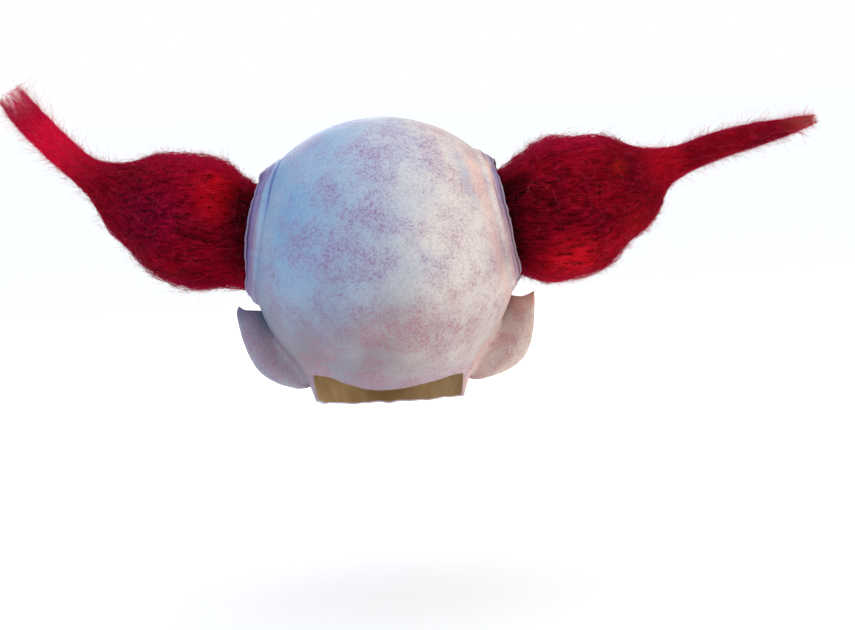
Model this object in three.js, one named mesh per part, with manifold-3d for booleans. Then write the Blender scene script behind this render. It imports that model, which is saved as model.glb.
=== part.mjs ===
// Full head clown mask: one hollow latex casting with a bald crown, a face and pointed ears,
// two raised latex collars at the sides, and a teased hair tuft standing out of each collar.
// Millimetres, +Z up. The face looks along -Y, and the origin is the seat inside the crown.
import * as THREE from "three";
import { ParametricGeometry } from "three/addons/geometries/ParametricGeometry.js";
import { mergeVertices } from "three/addons/utils/BufferGeometryUtils.js";
import Module from "manifold-3d";

const wasm = await Module();
wasm.setup();

// Driving dimensions
const WALL = 2.4; // latex wall of the casting
const ROUNDNESS = 2.15; // superellipse power of the head's level sections
const CROWN_Z = WALL; // the outside of the crown, over the seat at the origin

// Level sections of the head's outside, from the crown down. Depths are from the ear line.
const HEAD_SECTIONS = [
  { drop: 0, halfWidth: 0, back: 0, front: 0 },
  { drop: 6, halfWidth: 37, back: 39, front: 37 },
  { drop: 21, halfWidth: 67, back: 71, front: 67 },
  { drop: 44, halfWidth: 91, back: 97, front: 91 },
  { drop: 74, halfWidth: 104.5, back: 113, front: 105 },
  { drop: 106, halfWidth: 109, back: 119, front: 110 },
  { drop: 138, halfWidth: 106.5, back: 115, front: 109 },
  { drop: 168, halfWidth: 95, back: 102, front: 106 },
  { drop: 194, halfWidth: 78, back: 83, front: 102 },
  { drop: 214, halfWidth: 67, back: 68, front: 97 },
  { drop: 234, halfWidth: 60, back: 58, front: 91 },
  { drop: 254, halfWidth: 55, back: 52, front: 82 },
];

// The lower edge, by azimuth from the nape to either side. It steps down behind each ear to the jaw.
const RIM_EDGE = [
  { azimuth: 0, left: 214.5, right: 214.5 },
  { azimuth: 15, left: 213, right: 212.5 },
  { azimuth: 30, left: 207.5, right: 209.5 },
  { azimuth: 45, left: 202.5, right: 207.5 },
  { azimuth: 56, left: 202.5, right: 207.5 },
  { azimuth: 63, left: 208, right: 212 },
  { azimuth: 84, left: 229, right: 231 },
  { azimuth: 110, left: 238, right: 238 },
  { azimuth: 145, left: 245.5, right: 245.5 },
  { azimuth: 180, left: 249, right: 249 },
];

// Columns of the shell's grid over one half of the head, closer on the face.
const AZIMUTH_ZONES = [
  { from: 0, to: 56, steps: 6 },
  { from: 56, to: 84, steps: 4 },
  { from: 84, to: 120, steps: 4 },
  { from: 120, to: 180, steps: 12 },
];
const CROWN_ROWS = { count: 8, toDrop: 96 };
const FACE_ROWS = 21;

// Moulded relief of the face. Rows with a side stand in pairs, and a negative lift is a hollow.
const FACE_RELIEF = [
  { name: "brow", side: 33, drop: 111, halfWide: 24, halfTall: 9, lift: 6 },
  { name: "eye_hollow", side: 35, drop: 129, halfWide: 21, halfTall: 13, lift: -9 },
  { name: "nose_bridge", side: 0, drop: 143, halfWide: 10, halfTall: 22, lift: 10 },
  { name: "cheek", side: 49, drop: 167, halfWide: 21, halfTall: 18, lift: 8 },
  { name: "muzzle", side: 0, drop: 198, halfWide: 33, halfTall: 20, lift: 6 },
  { name: "upper_lip", side: 0, drop: 196, halfWide: 24, halfTall: 5.5, lift: 4 },
  { name: "lower_lip", side: 0, drop: 208, halfWide: 20, halfTall: 5.5, lift: 4.5 },
  { name: "chin_fold", side: 0, drop: 219, halfWide: 22, halfTall: 5, lift: -3 },
  { name: "chin", side: 0, drop: 234, halfWide: 21, halfTall: 11, lift: 9 },
];
const EYE_HOLE = { side: 35, drop: 129, halfWide: 19, halfTall: 9.5 };
const MOUTH_SLIT = { drop: 202, halfWide: 26, halfTall: 1.6 };
const NOSE = { radius: 20, drop: 168, y: -115, sides: 14, rings: 10 };
const FACE_CUT_Y = { from: -150, to: -60 };
const FACE_FRONT = { from: 20, to: 60 }; // distance in front of the ear line where the relief sets in

// Ear flap, top to bottom: its root on the head's side and its outer edge.
const EAR_SECTIONS = [
  { rootX: 97, rootY: -8, rootDrop: 148, edgeX: 122, edgeY: 15, edgeDrop: 147, thick: 2.6 },
  { rootX: 93, rootY: -8, rootDrop: 161, edgeX: 120.5, edgeY: 17, edgeDrop: 160, thick: 5 },
  { rootX: 86, rootY: -7, rootDrop: 175, edgeX: 117.5, edgeY: 17, edgeDrop: 175, thick: 6 },
  { rootX: 77, rootY: -6, rootDrop: 189, edgeX: 112.5, edgeY: 15, edgeDrop: 190, thick: 6 },
  { rootX: 68, rootY: -4, rootDrop: 201, edgeX: 105, edgeY: 12, edgeDrop: 203, thick: 6 },
  { rootX: 62, rootY: -2, rootDrop: 210, edgeX: 92, edgeY: 8, edgeDrop: 213, thick: 5 },
  { rootX: 58, rootY: 0, rootDrop: 217, edgeX: 76, edgeY: 5, edgeDrop: 219, thick: 3 },
];
const EAR_CUP = 6; // how far the flap bows back between root and edge
const EAR_TOP_SAG = 2; // dip of the top edge between head and tip
const EAR_THINNING = 8; // the flap thins over this fraction of its height at top and bottom
const EAR_LOBE = { left: 0, right: 8 }; // how much fuller the lower edge stands out on each side
const EAR_STEPS = { around: 12, down: 14 };

// Hair collar: a raised latex ring on the head's side, on the ear line or a little behind it.
const COLLAR = { drop: 89, edgeRadius: 58, lipRadius: 48, boreRadius: 45.6, height: 5.2, foot: 1 };
const COLLAR_HEM = { width: 2, thick: 1.4 }; // the thin margin where the collar runs out on the head
const COLLAR_LIP = { round: 1, flare: 3 }; // rounding of the lip, and the flare below it
const COLLAR_SET_BACK = { left: 0, right: 8 }; // how far behind the ear line its middle lies
const COLLAR_RISE = { left: 2.6, right: 0.4 }; // extra height of the lip in front and behind
const COLLAR_WAVES = { count: 5, radius: 1.2, height: 0.8 };
const COLLAR_STEPS = { around: 24, section: 7 };

// Hair tufts, from collar to tip: out from the middle plane, drop, depth behind the ear line, radius.
const LEFT_TUFT = [
  { out: 110, drop: 91, depth: 1, radius: 43.8 },
  { out: 122, drop: 88.5, depth: 3, radius: 47 },
  { out: 138, drop: 82.5, depth: 5, radius: 53 },
  { out: 159, drop: 73.5, depth: 6, radius: 54 },
  { out: 181, drop: 63, depth: 5, radius: 46 },
  { out: 201, drop: 55, depth: 4, radius: 34.5 },
  { out: 220, drop: 44, depth: 3, radius: 19.4 },
  { out: 238, drop: 31.5, depth: 2, radius: 11 },
  { out: 259, drop: 11.5, depth: 1, radius: 10 },
  { out: 282, drop: -12, depth: 0, radius: 9.5 },
  { out: 297, drop: -30, depth: 0, radius: 7 },
  { out: 305, drop: -39, depth: 0, radius: 0.6 },
];
const RIGHT_TUFT = [
  { out: 110, drop: 89.5, depth: 9, radius: 44 },
  { out: 121, drop: 89, depth: 10, radius: 49.5 },
  { out: 137, drop: 87, depth: 10, radius: 57 },
  { out: 158, drop: 78, depth: 9, radius: 58.5 },
  { out: 182, drop: 70, depth: 7, radius: 48.8 },
  { out: 205, drop: 65, depth: 5, radius: 36.5 },
  { out: 226, drop: 54.5, depth: 3, radius: 19 },
  { out: 247, drop: 47.5, depth: 2, radius: 11.5 },
  { out: 278, drop: 37, depth: 1, radius: 10.2 },
  { out: 312, drop: 29.5, depth: 0, radius: 8.5 },
  { out: 342, drop: 23.5, depth: 0, radius: 5 },
  { out: 364, drop: 18, depth: 0, radius: 0.6 },
];
const TUFT = { baseRadius: 44.6, baseLift: 0.9, flatten: 0.92, lobes: 6, lobeShare: 0.035, twist: 0.9 };
const TUFT_STEPS = { around: 16, base: 3, along: 17 };
const LOCKS = { count: 6, from: 0.06, to: 0.9, thick: 8, sink: 0.45, sides: 5, along: 7 };
const LOCK_STAGGER = { start: 0.05, end: 0.09 }; // how far locks start later and end sooner, by turns
const LOCK_WIND = { reach: 0.8, turn: 1.7 }; // how far a lock winds round its tuft, and how that differs
const LOCK_SECTION = { flatten: 1.5, least: 0.45, fullAt: 60 }; // wide, and thinner where the tuft is
const LOCK_AXIS = { out: 0.94, up: 0.34 }; // the way both tufts lean, which sets the locks' width

const LATEX = { color: 0xd9d6dc, roughness: 0.55, metalness: 0 };
const PATCH_LATEX = { color: 0xb9a6c4, roughness: 0.6, metalness: 0 };
const HAIR = { color: 0x8c0a1c, roughness: 0.7, metalness: 0 };

const radians = THREE.MathUtils.degToRad;
const sideName = (side) => (side > 0 ? "left" : "right");

// Catmull-Rom value of one column at a place counted in rows, with given values past both ends.
function along(rows, column, place, before, after) {
  const last = rows.length - 1;
  const i = Math.min(Math.floor(place), last - 1);
  const f = place - i;
  const at = (k) => (k < 0 ? before : k > last ? after : rows[k][column]);
  const [a, b, c, d] = [at(i - 1), at(i), at(i + 1), at(i + 2)];
  const cubic = 3 * (b - c) + d - a;
  const square = 2 * a - 5 * b + 4 * c - d;
  return b + 0.5 * f * (c - a + f * (square + f * cubic));
}

// A column of an open table, whose ends run straight on.
function openValue(rows, column, place) {
  const last = rows.length - 1;
  const before = 2 * rows[0][column] - rows[1][column];
  const after = 2 * rows[last][column] - rows[last - 1][column];
  return along(rows, column, place, before, after);
}

// A column of the head's sections. Past the crown the head comes back down on the far side.
function headValue(column, place) {
  const [, first] = HEAD_SECTIONS;
  const last = HEAD_SECTIONS.length - 1;
  const before = column === "drop" ? first.drop : -first[column];
  const after = 2 * HEAD_SECTIONS[last][column] - HEAD_SECTIONS[last - 1][column];
  return along(HEAD_SECTIONS, column, place, before, after);
}

// The place in the head's sections that lies at a drop.
function placeAtDrop(drop) {
  let low = 0;
  let high = HEAD_SECTIONS.length - 1;
  for (let i = 0; i < 40; i++) {
    const middle = (low + high) / 2;
    if (headValue("drop", middle) < drop) low = middle;
    else high = middle;
  }
  return (low + high) / 2;
}

// Straight-line value of the lower edge's drop at an azimuth in degrees from the nape.
function rimDrop(azimuth) {
  const turned = Math.abs(((azimuth + 180) % 360) - 180);
  const side = azimuth % 360 < 180 ? "left" : "right";
  const k = Math.max(1, RIM_EDGE.findIndex((row) => row.azimuth >= turned - 1e-9));
  const [a, b] = [RIM_EDGE[k - 1], RIM_EDGE[k]];
  return THREE.MathUtils.mapLinear(turned, a.azimuth, b.azimuth, a[side], b[side]);
}

const signedPower = (value) => Math.sign(value) * Math.abs(value) ** (2 / ROUNDNESS);

// A point of the head's outside at an azimuth in degrees and a place in its sections.
function headPoint(azimuth, place, target) {
  const angle = radians(azimuth);
  const halfWidth = headValue("halfWidth", place);
  const back = Math.cos(angle) > 0;
  const depth = headValue(back ? "back" : "front", place);
  const drop = headValue("drop", place);
  const x = halfWidth * signedPower(Math.sin(angle));
  const y = depth * signedPower(Math.cos(angle));
  const outward = new THREE.Vector2(x / (halfWidth ** 2 + 1), y / (depth ** 2 + 1)).normalize();
  const lift = faceLift(x, y, drop);
  return target.set(x + lift * outward.x, y + lift * outward.y, CROWN_Z - drop);
}

// How far the face's relief stands out at a point.
function faceLift(x, y, drop) {
  const front = THREE.MathUtils.smoothstep(-y, FACE_FRONT.from, FACE_FRONT.to);
  let lift = 0;
  for (const row of FACE_RELIEF) {
    const across = (row.side ? Math.abs(x) - row.side : x) / row.halfWide;
    const down = (drop - row.drop) / row.halfTall;
    lift += row.lift * Math.exp(-(across ** 2) - down ** 2);
  }
  return lift * front;
}

// Outward normal of the head at the same coordinates.
function headNormal(azimuth, place) {
  if (place < 1e-6) return new THREE.Vector3(0, 0, 1);
  const [step, reach] = [0.5, 0.02];
  const point = (a, p) => headPoint(a, p, new THREE.Vector3());
  const round = point(azimuth + step, place).sub(point(azimuth - step, place));
  const down = point(azimuth, place + reach).sub(point(azimuth, place - reach));
  return down.cross(round).negate().normalize();
}

// A closed parametric surface as a solid, with its seams merged and its poles closed.
function solidOf(surface, slices, stacks) {
  const geometry = new ParametricGeometry(surface, slices, stacks);
  geometry.deleteAttribute("normal");
  geometry.deleteAttribute("uv");
  return solidOfGeometry(geometry);
}

function solidOfGeometry(geometry) {
  const merged = mergeVertices(geometry, 1e-3);
  const { array } = merged.index;
  const corners = [];
  for (let i = 0; i < array.length; i += 3) {
    const [a, b, c] = [array[i], array[i + 1], array[i + 2]];
    if (a !== b && b !== c && c !== a) corners.push(a, b, c);
  }
  const made = (triVerts) =>
    new wasm.Manifold(
      new wasm.Mesh({
        numProp: 3,
        vertProperties: new Float32Array(merged.attributes.position.array),
        triVerts: new Uint32Array(triVerts),
      }),
    );
  const solid = made(corners);
  return solid.volume() > 0 ? solid : made(corners.reverse());
}

// A named mesh from a solid.
function meshOf(name, solid, finish) {
  const { numProp, vertProperties, triVerts } = solid.getMesh();
  const count = vertProperties.length / numProp;
  const position = new THREE.BufferAttribute(new Float32Array(count * 3), 3);
  for (let i = 0; i < count; i++) {
    const start = i * numProp;
    position.setXYZ(i, vertProperties[start], vertProperties[start + 1], vertProperties[start + 2]);
  }
  const geometry = new THREE.BufferGeometry().setAttribute("position", position);
  geometry.setIndex(new THREE.BufferAttribute(triVerts, 1));
  geometry.computeVertexNormals();
  const mesh = new THREE.Mesh(geometry, new THREE.MeshStandardMaterial(finish));
  mesh.name = name;
  return mesh;
}

// Azimuths of the shell's columns all the way round, from the nape.
function columnAzimuths() {
  const half = AZIMUTH_ZONES.flatMap(({ from, to, steps }) =>
    Array.from({ length: steps }, (_, i) => from + ((to - from) * i) / steps),
  );
  const other = half.slice(1).map((azimuth) => 360 - azimuth);
  return [...half, 180, ...other.reverse(), 360];
}

// Places of the shell's rows down one meridian, from the crown to the lower edge.
function rowPlace(row, azimuth) {
  const crownEnd = placeAtDrop(CROWN_ROWS.toDrop);
  if (row <= CROWN_ROWS.count) return (crownEnd * row) / CROWN_ROWS.count;
  const rimEnd = placeAtDrop(rimDrop(azimuth));
  return crownEnd + ((rimEnd - crownEnd) * (row - CROWN_ROWS.count)) / FACE_ROWS;
}

const AZIMUTHS = columnAzimuths();
const ROWS = CROWN_ROWS.count + FACE_ROWS;

// A point of the casting, sunk below the outside by a depth.
function sunkPoint(column, row, depth, target) {
  const azimuth = AZIMUTHS[column % (AZIMUTHS.length - 1)];
  const place = rowPlace(row, azimuth);
  headPoint(azimuth, place, target);
  return target.addScaledVector(headNormal(azimuth, place), -depth);
}

// The wall of the casting: outside from crown to edge, then inside from edge to crown.
function castWall() {
  const columns = AZIMUTHS.length - 1;
  const stacks = 2 * ROWS + 1;
  const surface = (u, v, target) => {
    const step = Math.round(v * stacks);
    const outside = step <= ROWS;
    sunkPoint(Math.round(u * columns), outside ? step : stacks - step, outside ? 0 : WALL, target);
  };
  return solidOf(surface, columns, stacks);
}

// The head filled up to the middle of its wall, which trims what is moulded on.
function headFill() {
  const columns = AZIMUTHS.length - 1;
  const surface = (u, v, target) => {
    const row = Math.round(v * (ROWS + 1));
    if (row > ROWS) target.set(0, 0, CROWN_Z - COLLAR.drop);
    else sunkPoint(Math.round(u * columns), row, WALL / 2, target);
  };
  return solidOf(surface, columns, ROWS + 1);
}

// One ear flap, a thin lens between its root and its outer edge. Side is 1 or -1.
function earFlap(side) {
  const last = EAR_SECTIONS.length - 1;
  const surface = (u, v, target) => {
    const across = 1 - Math.abs(2 * u - 1);
    const face = u < 0.5 ? -1 : 1;
    const at = (column) => openValue(EAR_SECTIONS, column, v * last);
    const mix = (root, edge) => THREE.MathUtils.lerp(at(root), at(edge), across);
    const swell = Math.sin(Math.PI * Math.min(1, across));
    const ends = Math.min(1, EAR_THINNING * v, EAR_THINNING * (1 - v));
    const thick = 0.5 * at("thick") * Math.sqrt(Math.max(0, swell)) * ends;
    const sag = EAR_TOP_SAG * swell * (1 - v) ** 4;
    const lobe = EAR_LOBE[sideName(side)] * v * Math.sin(Math.PI * v) * across;
    const x = side * (mix("rootX", "edgeX") + lobe);
    const y = mix("rootY", "edgeY") + EAR_CUP * swell + face * thick;
    target.set(x, y, CROWN_Z - mix("rootDrop", "edgeDrop") - sag);
  };
  return solidOf(surface, EAR_STEPS.around, EAR_STEPS.down);
}

// A cutter along Y with an almond outline, pointed at both ends.
function almondCutter(x, drop, halfWide, halfTall) {
  const outline = new THREE.Shape();
  outline.moveTo(-halfWide, 0);
  outline.quadraticCurveTo(0, -2 * halfTall, halfWide, 0);
  outline.quadraticCurveTo(0, 2 * halfTall, -halfWide, 0);
  const depth = FACE_CUT_Y.to - FACE_CUT_Y.from;
  const geometry = new THREE.ExtrudeGeometry(outline, { depth, bevelEnabled: false, curveSegments: 8 });
  geometry.rotateX(Math.PI / 2);
  geometry.translate(x, FACE_CUT_Y.to, CROWN_Z - drop);
  geometry.deleteAttribute("normal");
  geometry.deleteAttribute("uv");
  return solidOfGeometry(geometry);
}

// The ball of the nose, moulded on the face.
function noseBall() {
  const geometry = new THREE.SphereGeometry(NOSE.radius, NOSE.sides, NOSE.rings);
  geometry.rotateX(Math.PI / 2);
  geometry.translate(0, NOSE.y, CROWN_Z - NOSE.drop);
  geometry.deleteAttribute("normal");
  geometry.deleteAttribute("uv");
  return solidOfGeometry(geometry);
}

// The whole casting: wall, ears and nose, with the eyes and the mouth cut through.
function maskShell() {
  const fill = headFill();
  let solid = castWall();
  for (const moulded of [earFlap(1), earFlap(-1), noseBall()]) {
    solid = solid.add(moulded.subtract(fill));
  }
  for (const side of [1, -1]) {
    const { drop, halfWide, halfTall } = EYE_HOLE;
    solid = solid.subtract(almondCutter(side * EYE_HOLE.side, drop, halfWide, halfTall));
  }
  const { drop, halfWide, halfTall } = MOUTH_SLIT;
  return solid.subtract(almondCutter(0, drop, halfWide, halfTall));
}

// A point standing off the head's side, at a radius and angle round the collar's centre.
function sidePoint(side, radius, angle, height, target) {
  const onSide = (y, drop) => {
    const place = placeAtDrop(drop);
    const depth = headValue(y > 0 ? "back" : "front", place);
    const share = 1 - Math.abs(y / depth) ** ROUNDNESS;
    const x = headValue("halfWidth", place) * share ** (1 / ROUNDNESS);
    return new THREE.Vector3(x, y, CROWN_Z - drop);
  };
  const y = radius * Math.cos(angle) + COLLAR_SET_BACK[sideName(side)];
  const drop = COLLAR.drop - radius * Math.sin(angle);
  const across = onSide(y + 1, drop).sub(onSide(y - 1, drop));
  const down = onSide(y, drop + 1).sub(onSide(y, drop - 1));
  const outward = down.cross(across).normalize();
  if (outward.x < 0) outward.negate();
  target.copy(onSide(y, drop)).addScaledVector(outward, height);
  target.x *= side;
  return target;
}

// Section of the collar, round its wall from the bore's foot: radius and height off the head.
function collarSection() {
  const { edgeRadius, lipRadius, boreRadius, height, foot } = COLLAR;
  return [
    { radius: boreRadius, height: foot },
    { radius: boreRadius, height: height - COLLAR_LIP.round },
    { radius: (boreRadius + lipRadius) / 2, height },
    { radius: lipRadius, height: height - COLLAR_LIP.round },
    { radius: lipRadius + COLLAR_LIP.flare, height: height / 2 },
    { radius: edgeRadius - COLLAR_HEM.width, height: foot + COLLAR_HEM.thick },
    { radius: edgeRadius, height: foot },
  ];
}

// One hair collar, waved a little round its lip.
function hairCollar(side) {
  const section = collarSection();
  const surface = (u, v, target) => {
    const angle = 2 * Math.PI * (u % 1);
    const corner = section[Math.round(v * section.length) % section.length];
    const wave = Math.sin(COLLAR_WAVES.count * angle + side);
    const raised = Math.max(0, corner.height - COLLAR.foot) / COLLAR.height;
    const outer = corner.radius > COLLAR.lipRadius ? COLLAR_WAVES.radius * wave : 0;
    const rise = COLLAR_WAVES.height * wave + COLLAR_RISE[sideName(side)] * Math.cos(angle) ** 2;
    sidePoint(side, corner.radius + outer, angle, corner.height + rise * raised, target);
  };
  return solidOf(surface, COLLAR_STEPS.around, COLLAR_STEPS.section);
}

// A point on a tuft's surface: share of its length, angle round it, and how far in it is sunk.
function tuftPoint(rows, side, share, angle, sink, target) {
  const last = rows.length - 1;
  const place = share * last;
  const at = (column, where) => openValue(rows, column, where);
  const centre = (where) =>
    new THREE.Vector3(side * at("out", where), at("depth", where), CROWN_Z - at("drop", where));
  const reach = 0.05;
  const [low, high] = [Math.max(0, place - reach), Math.min(last, place + reach)];
  const forward = centre(high).sub(centre(low)).normalize();
  const level = new THREE.Vector3(0, 1, 0);
  const upward = level.clone().cross(forward).normalize().multiplyScalar(-side);
  const lobe = 1 + TUFT.lobeShare * Math.sin(TUFT.lobes * angle + 2 * Math.PI * TUFT.twist * share);
  const radius = Math.max(0.3, at("radius", place) * lobe - sink);
  target.copy(centre(place));
  target.addScaledVector(level, TUFT.flatten * radius * Math.cos(angle));
  return target.addScaledVector(upward, radius * Math.sin(angle));
}

// The body of a tuft: its base on the head's side inside the collar, then out to the tip.
function tuftCore(rows, side) {
  const { around, base, along: steps } = TUFT_STEPS;
  const stacks = base + 1 + steps;
  const surface = (u, v, target) => {
    const row = Math.round(v * stacks);
    const angle = 2 * Math.PI * (u % 1);
    if (row <= base) sidePoint(side, (TUFT.baseRadius * row) / base, angle, TUFT.baseLift, target);
    else tuftPoint(rows, side, (row - base - 1) / steps, angle, 0, target);
    if (row === stacks) tuftPoint(rows, side, 1, 0, 0, target);
  };
  return solidOf(surface, around, stacks);
}

// One lock of hair, half sunk in the tuft and winding a little round it towards the tip.
function hairLock(rows, side, index) {
  const { count, from, to, thick, sink, sides, along: steps } = LOCKS;
  const start = from + LOCK_STAGGER.start * (index % 3);
  const end = to - LOCK_STAGGER.end * ((index * 2) % 4);
  const middle = (share) => {
    const wind = LOCK_WIND.reach * share * Math.sin(index * LOCK_WIND.turn);
    const angle = (2 * Math.PI * index) / count + wind;
    return tuftPoint(rows, side, share, angle, sink * thick * 0.5, new THREE.Vector3());
  };
  const path = new THREE.CatmullRomCurve3(
    Array.from({ length: steps + 1 }, (_, i) => middle(start + ((end - start) * i) / steps)),
  );
  const axis = new THREE.Vector3(side * LOCK_AXIS.out, 0, LOCK_AXIS.up);
  const surface = (u, v, target) => {
    const angle = 2 * Math.PI * (u % 1);
    const tangent = path.getTangent(v);
    const across = axis.clone().cross(tangent);
    if (across.length() < 0.05) across.set(0, 1, 0);
    across.normalize();
    const outward = tangent.clone().cross(across).normalize();
    const bulk = openValue(rows, "radius", v * (end - start) * (rows.length - 1)) / LOCK_SECTION.fullAt;
    const slim = Math.min(1, LOCK_SECTION.least + bulk);
    const radius = 0.5 * thick * Math.sin(Math.PI * v) ** 0.6 * slim;
    target.copy(path.getPoint(v));
    target.addScaledVector(across, LOCK_SECTION.flatten * radius * Math.cos(angle));
    target.addScaledVector(outward, radius * Math.sin(angle));
  };
  return solidOf(surface, sides, steps);
}

// A tuft with its locks fused to its body.
function hairTuft(rows, side) {
  let solid = tuftCore(rows, side);
  for (let i = 0; i < LOCKS.count; i++) solid = solid.add(hairLock(rows, side, i));
  return solid;
}

const mask = new THREE.Group();
mask.add(meshOf("mask_shell", maskShell(), LATEX));
mask.add(meshOf("hair_collar_left", hairCollar(1), PATCH_LATEX));
mask.add(meshOf("hair_collar_right", hairCollar(-1), PATCH_LATEX));
mask.add(meshOf("hair_tuft_left", hairTuft(LEFT_TUFT, 1), HAIR));
mask.add(meshOf("hair_tuft_right", hairTuft(RIGHT_TUFT, -1), HAIR));

export default mask;
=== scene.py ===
# Looks of a full head clown mask: painted latex casting, two latex hair collars, teased red hair.
# The face looks along -Y, and the origin is the seat inside the crown. Tables are in millimetres.
import math
from collections import namedtuple

import bmesh
import bpy
import numpy as np
from mathutils import Matrix, Vector
from mathutils.kdtree import KDTree


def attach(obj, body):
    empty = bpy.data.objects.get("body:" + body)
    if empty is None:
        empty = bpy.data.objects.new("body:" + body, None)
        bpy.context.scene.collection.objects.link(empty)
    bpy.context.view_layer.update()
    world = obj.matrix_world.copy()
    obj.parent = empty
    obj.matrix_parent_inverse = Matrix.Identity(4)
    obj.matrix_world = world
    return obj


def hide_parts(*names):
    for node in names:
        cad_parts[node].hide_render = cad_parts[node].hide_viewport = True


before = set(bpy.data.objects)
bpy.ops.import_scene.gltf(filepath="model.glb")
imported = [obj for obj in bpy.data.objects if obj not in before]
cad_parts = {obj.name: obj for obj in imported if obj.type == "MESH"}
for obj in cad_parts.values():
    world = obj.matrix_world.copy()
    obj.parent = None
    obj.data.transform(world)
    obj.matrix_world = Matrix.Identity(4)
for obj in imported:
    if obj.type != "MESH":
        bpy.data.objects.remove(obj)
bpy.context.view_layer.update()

MM = 0.001
BODY = "root"
SIDES = {"left": 1, "right": -1}


def table(columns, *rows):
    """Rows of a table whose columns have names."""
    Row = namedtuple("Row", columns)
    return [Row(*row) for row in rows]


# Casting: level sections of the outside, from the crown down, with depths from the ear line.
HEAD_SECTIONS = table(
    "drop half_width back front",
    (0, 0, 0, 0),
    (6, 37, 39, 37),
    (21, 67, 71, 67),
    (44, 91, 97, 91),
    (74, 104.5, 113, 105),
    (106, 109, 119, 110),
    (138, 106.5, 115, 109),
    (168, 95, 102, 106),
    (194, 78, 83, 102),
    (214, 67, 68, 97),
    (234, 60, 58, 91),
    (254, 55, 52, 82),
)
WALL = 2.4
CROWN_Z = WALL
ROUNDNESS = 2.15
PLACE_STEPS = 1600
SAFE_DROPS = (2, 253)

# Slight unevenness of a hand-finished casting.
CAST_RIPPLES = table(
    "lift wavelength seed",
    (0.45, 46, 1),
    (0.16, 15, 2),
)

# The lower edge, by azimuth from the nape to either side. It steps down behind each ear to the jaw.
RIM_EDGE = table(
    "azimuth left right",
    (0, 214.5, 214.5),
    (8, 214.2, 213.9),
    (15, 213, 212.5),
    (30, 207.5, 209.5),
    (38, 204.2, 208.2),
    (45, 202.5, 207.5),
    (56, 202.5, 207.5),
    (58.5, 203.6, 208.4),
    (63, 208, 212),
    (84, 229, 231),
    (110, 238, 238),
    (145, 245.5, 245.5),
    (180, 249, 249),
)
RIM_WAVE = 0.6
RIM_ROLL = 0.7
RIM_PAINT = 20

# Grid of the casting over one half of the head, closest on the face.
AZIMUTH_ZONES = table(
    "start end steps",
    (0, 50, 22),
    (50, 66, 14),
    (66, 84, 12),
    (84, 118, 14),
    (118, 180, 60),
)
CROWN_ROWS = 46
CROWN_ROWS_END = 96
FACE_ROWS = 96
INSIDE_ROW_STEP = 2

# Moulded relief of the face. Rows with a side stand in pairs, and a negative lift is a hollow.
FACE_RELIEF = table(
    "name side drop half_wide half_tall lift",
    ("brow", 33, 111, 24, 9, 6),
    ("eye_hollow", 35, 129, 21, 13, -9),
    ("nose_bridge", 0, 143, 10, 22, 10),
    ("cheek", 49, 167, 21, 18, 8),
    ("muzzle", 0, 198, 33, 20, 6),
    ("upper_lip", 0, 196, 24, 5.5, 4),
    ("lower_lip", 0, 208, 20, 5.5, 4.5),
    ("chin_fold", 0, 219, 22, 5, -3),
    ("chin", 0, 234, 21, 11, 9),
)
FACE_START = (20, 60)

# Fine folds of the face: side and drop of the ends and of the middle they bow through.
FACE_FOLDS = table(
    "name start middle end width depth",
    ("upper_lid", (15, 127), (35, 110), (57, 128), 2.2, 1.5),
    ("under_eye", (17, 136), (35, 148), (54, 135), 2.4, 1.0),
    ("smile", (21, 168), (37, 180), (38, 207), 3.6, 2.2),
    ("mouth_corner", (29, 198), (33, 203), (30, 211), 2.6, 1.2),
    ("low_forehead", (0, 88), (28, 87), (60, 92), 3.2, 0.9),
    ("high_forehead", (0, 72), (28, 70), (54, 75), 3.2, 0.7),
    ("philtrum", (2.2, 186), (2.2, 189), (2.2, 193), 2.2, 1.0),
)
FOLD_STEPS = 14
LID = {"lift": 1.7, "off": 2.4, "width": 2.0, "reach": 1.15}
EYE = {"side": 35, "drop": 129, "half_wide": 19, "half_tall": 9.5}
MOUTH = {"side": 0, "drop": 202, "half_wide": 26, "half_tall": 0.8}
FACE_CUT_Y = (-150, -60)
CUT_STEPS = 28
NOSE = {"radius": 20, "drop": 168, "y": -115, "around": 64, "rings": 40}
NOSE_CENTRE = np.array([0, NOSE["y"], CROWN_Z - NOSE["drop"]])
NOSE_RIPPLE = {"lift": 0.25, "wavelength": 16, "seed": 8}

# Paint on the face, from the middle line out and from the crown down.
FACE_PAINT_START = (30, 60)
NOSE_PAINT_EDGE = (0.4, 1.6)
LIPS = {"half_wide": 29, "above": 8.2, "below": 11.0, "bow": 1.8, "dip": 1.2, "fade": 0.7}
BLUSH = {"side": 49, "drop": 168, "half_wide": 17, "half_tall": 15}
EYE_PAINT_WIDTH = 6.5
BROW = {"side": 33, "half_wide": 22, "drop": 103, "arch": 8, "half_thick": 2.3, "fade": 1.2}
BROW_TAPER = {"side": 32, "half_wide": 21, "thinnest": 0.3}

# Ear flap, top to bottom: its root on the head's side and its outer edge.
EAR_SECTIONS = table(
    "root_x root_y root_drop edge_x edge_y edge_drop thick",
    (97, -8, 148, 122, 15, 147, 2.6),
    (93, -8, 161, 120.5, 17, 160, 5),
    (86, -7, 175, 117.5, 17, 175, 6),
    (77, -6, 189, 112.5, 15, 190, 6),
    (68, -4, 201, 105, 12, 203, 6),
    (62, -2, 210, 92, 8, 213, 5),
    (58, 0, 217, 76, 5, 219, 3),
)
EAR_CUP = 6
EAR_TOP_SAG = {1: 2.5, -1: 3.5}
EAR_TOP_SLOPE = {1: 5, -1: 1}
EAR_TIP_ROUND = {1: 3, -1: 0.5}
EAR_LOBE = {1: 0, -1: 8}
EAR_WEB = {"depth": 24, "reach": 0.2, "starts": (0.0, 0.5), "ends": (0.8, 1.0)}
EAR_RIM = {"across": 0.85, "width": 0.09, "lift": 2.0}
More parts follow.
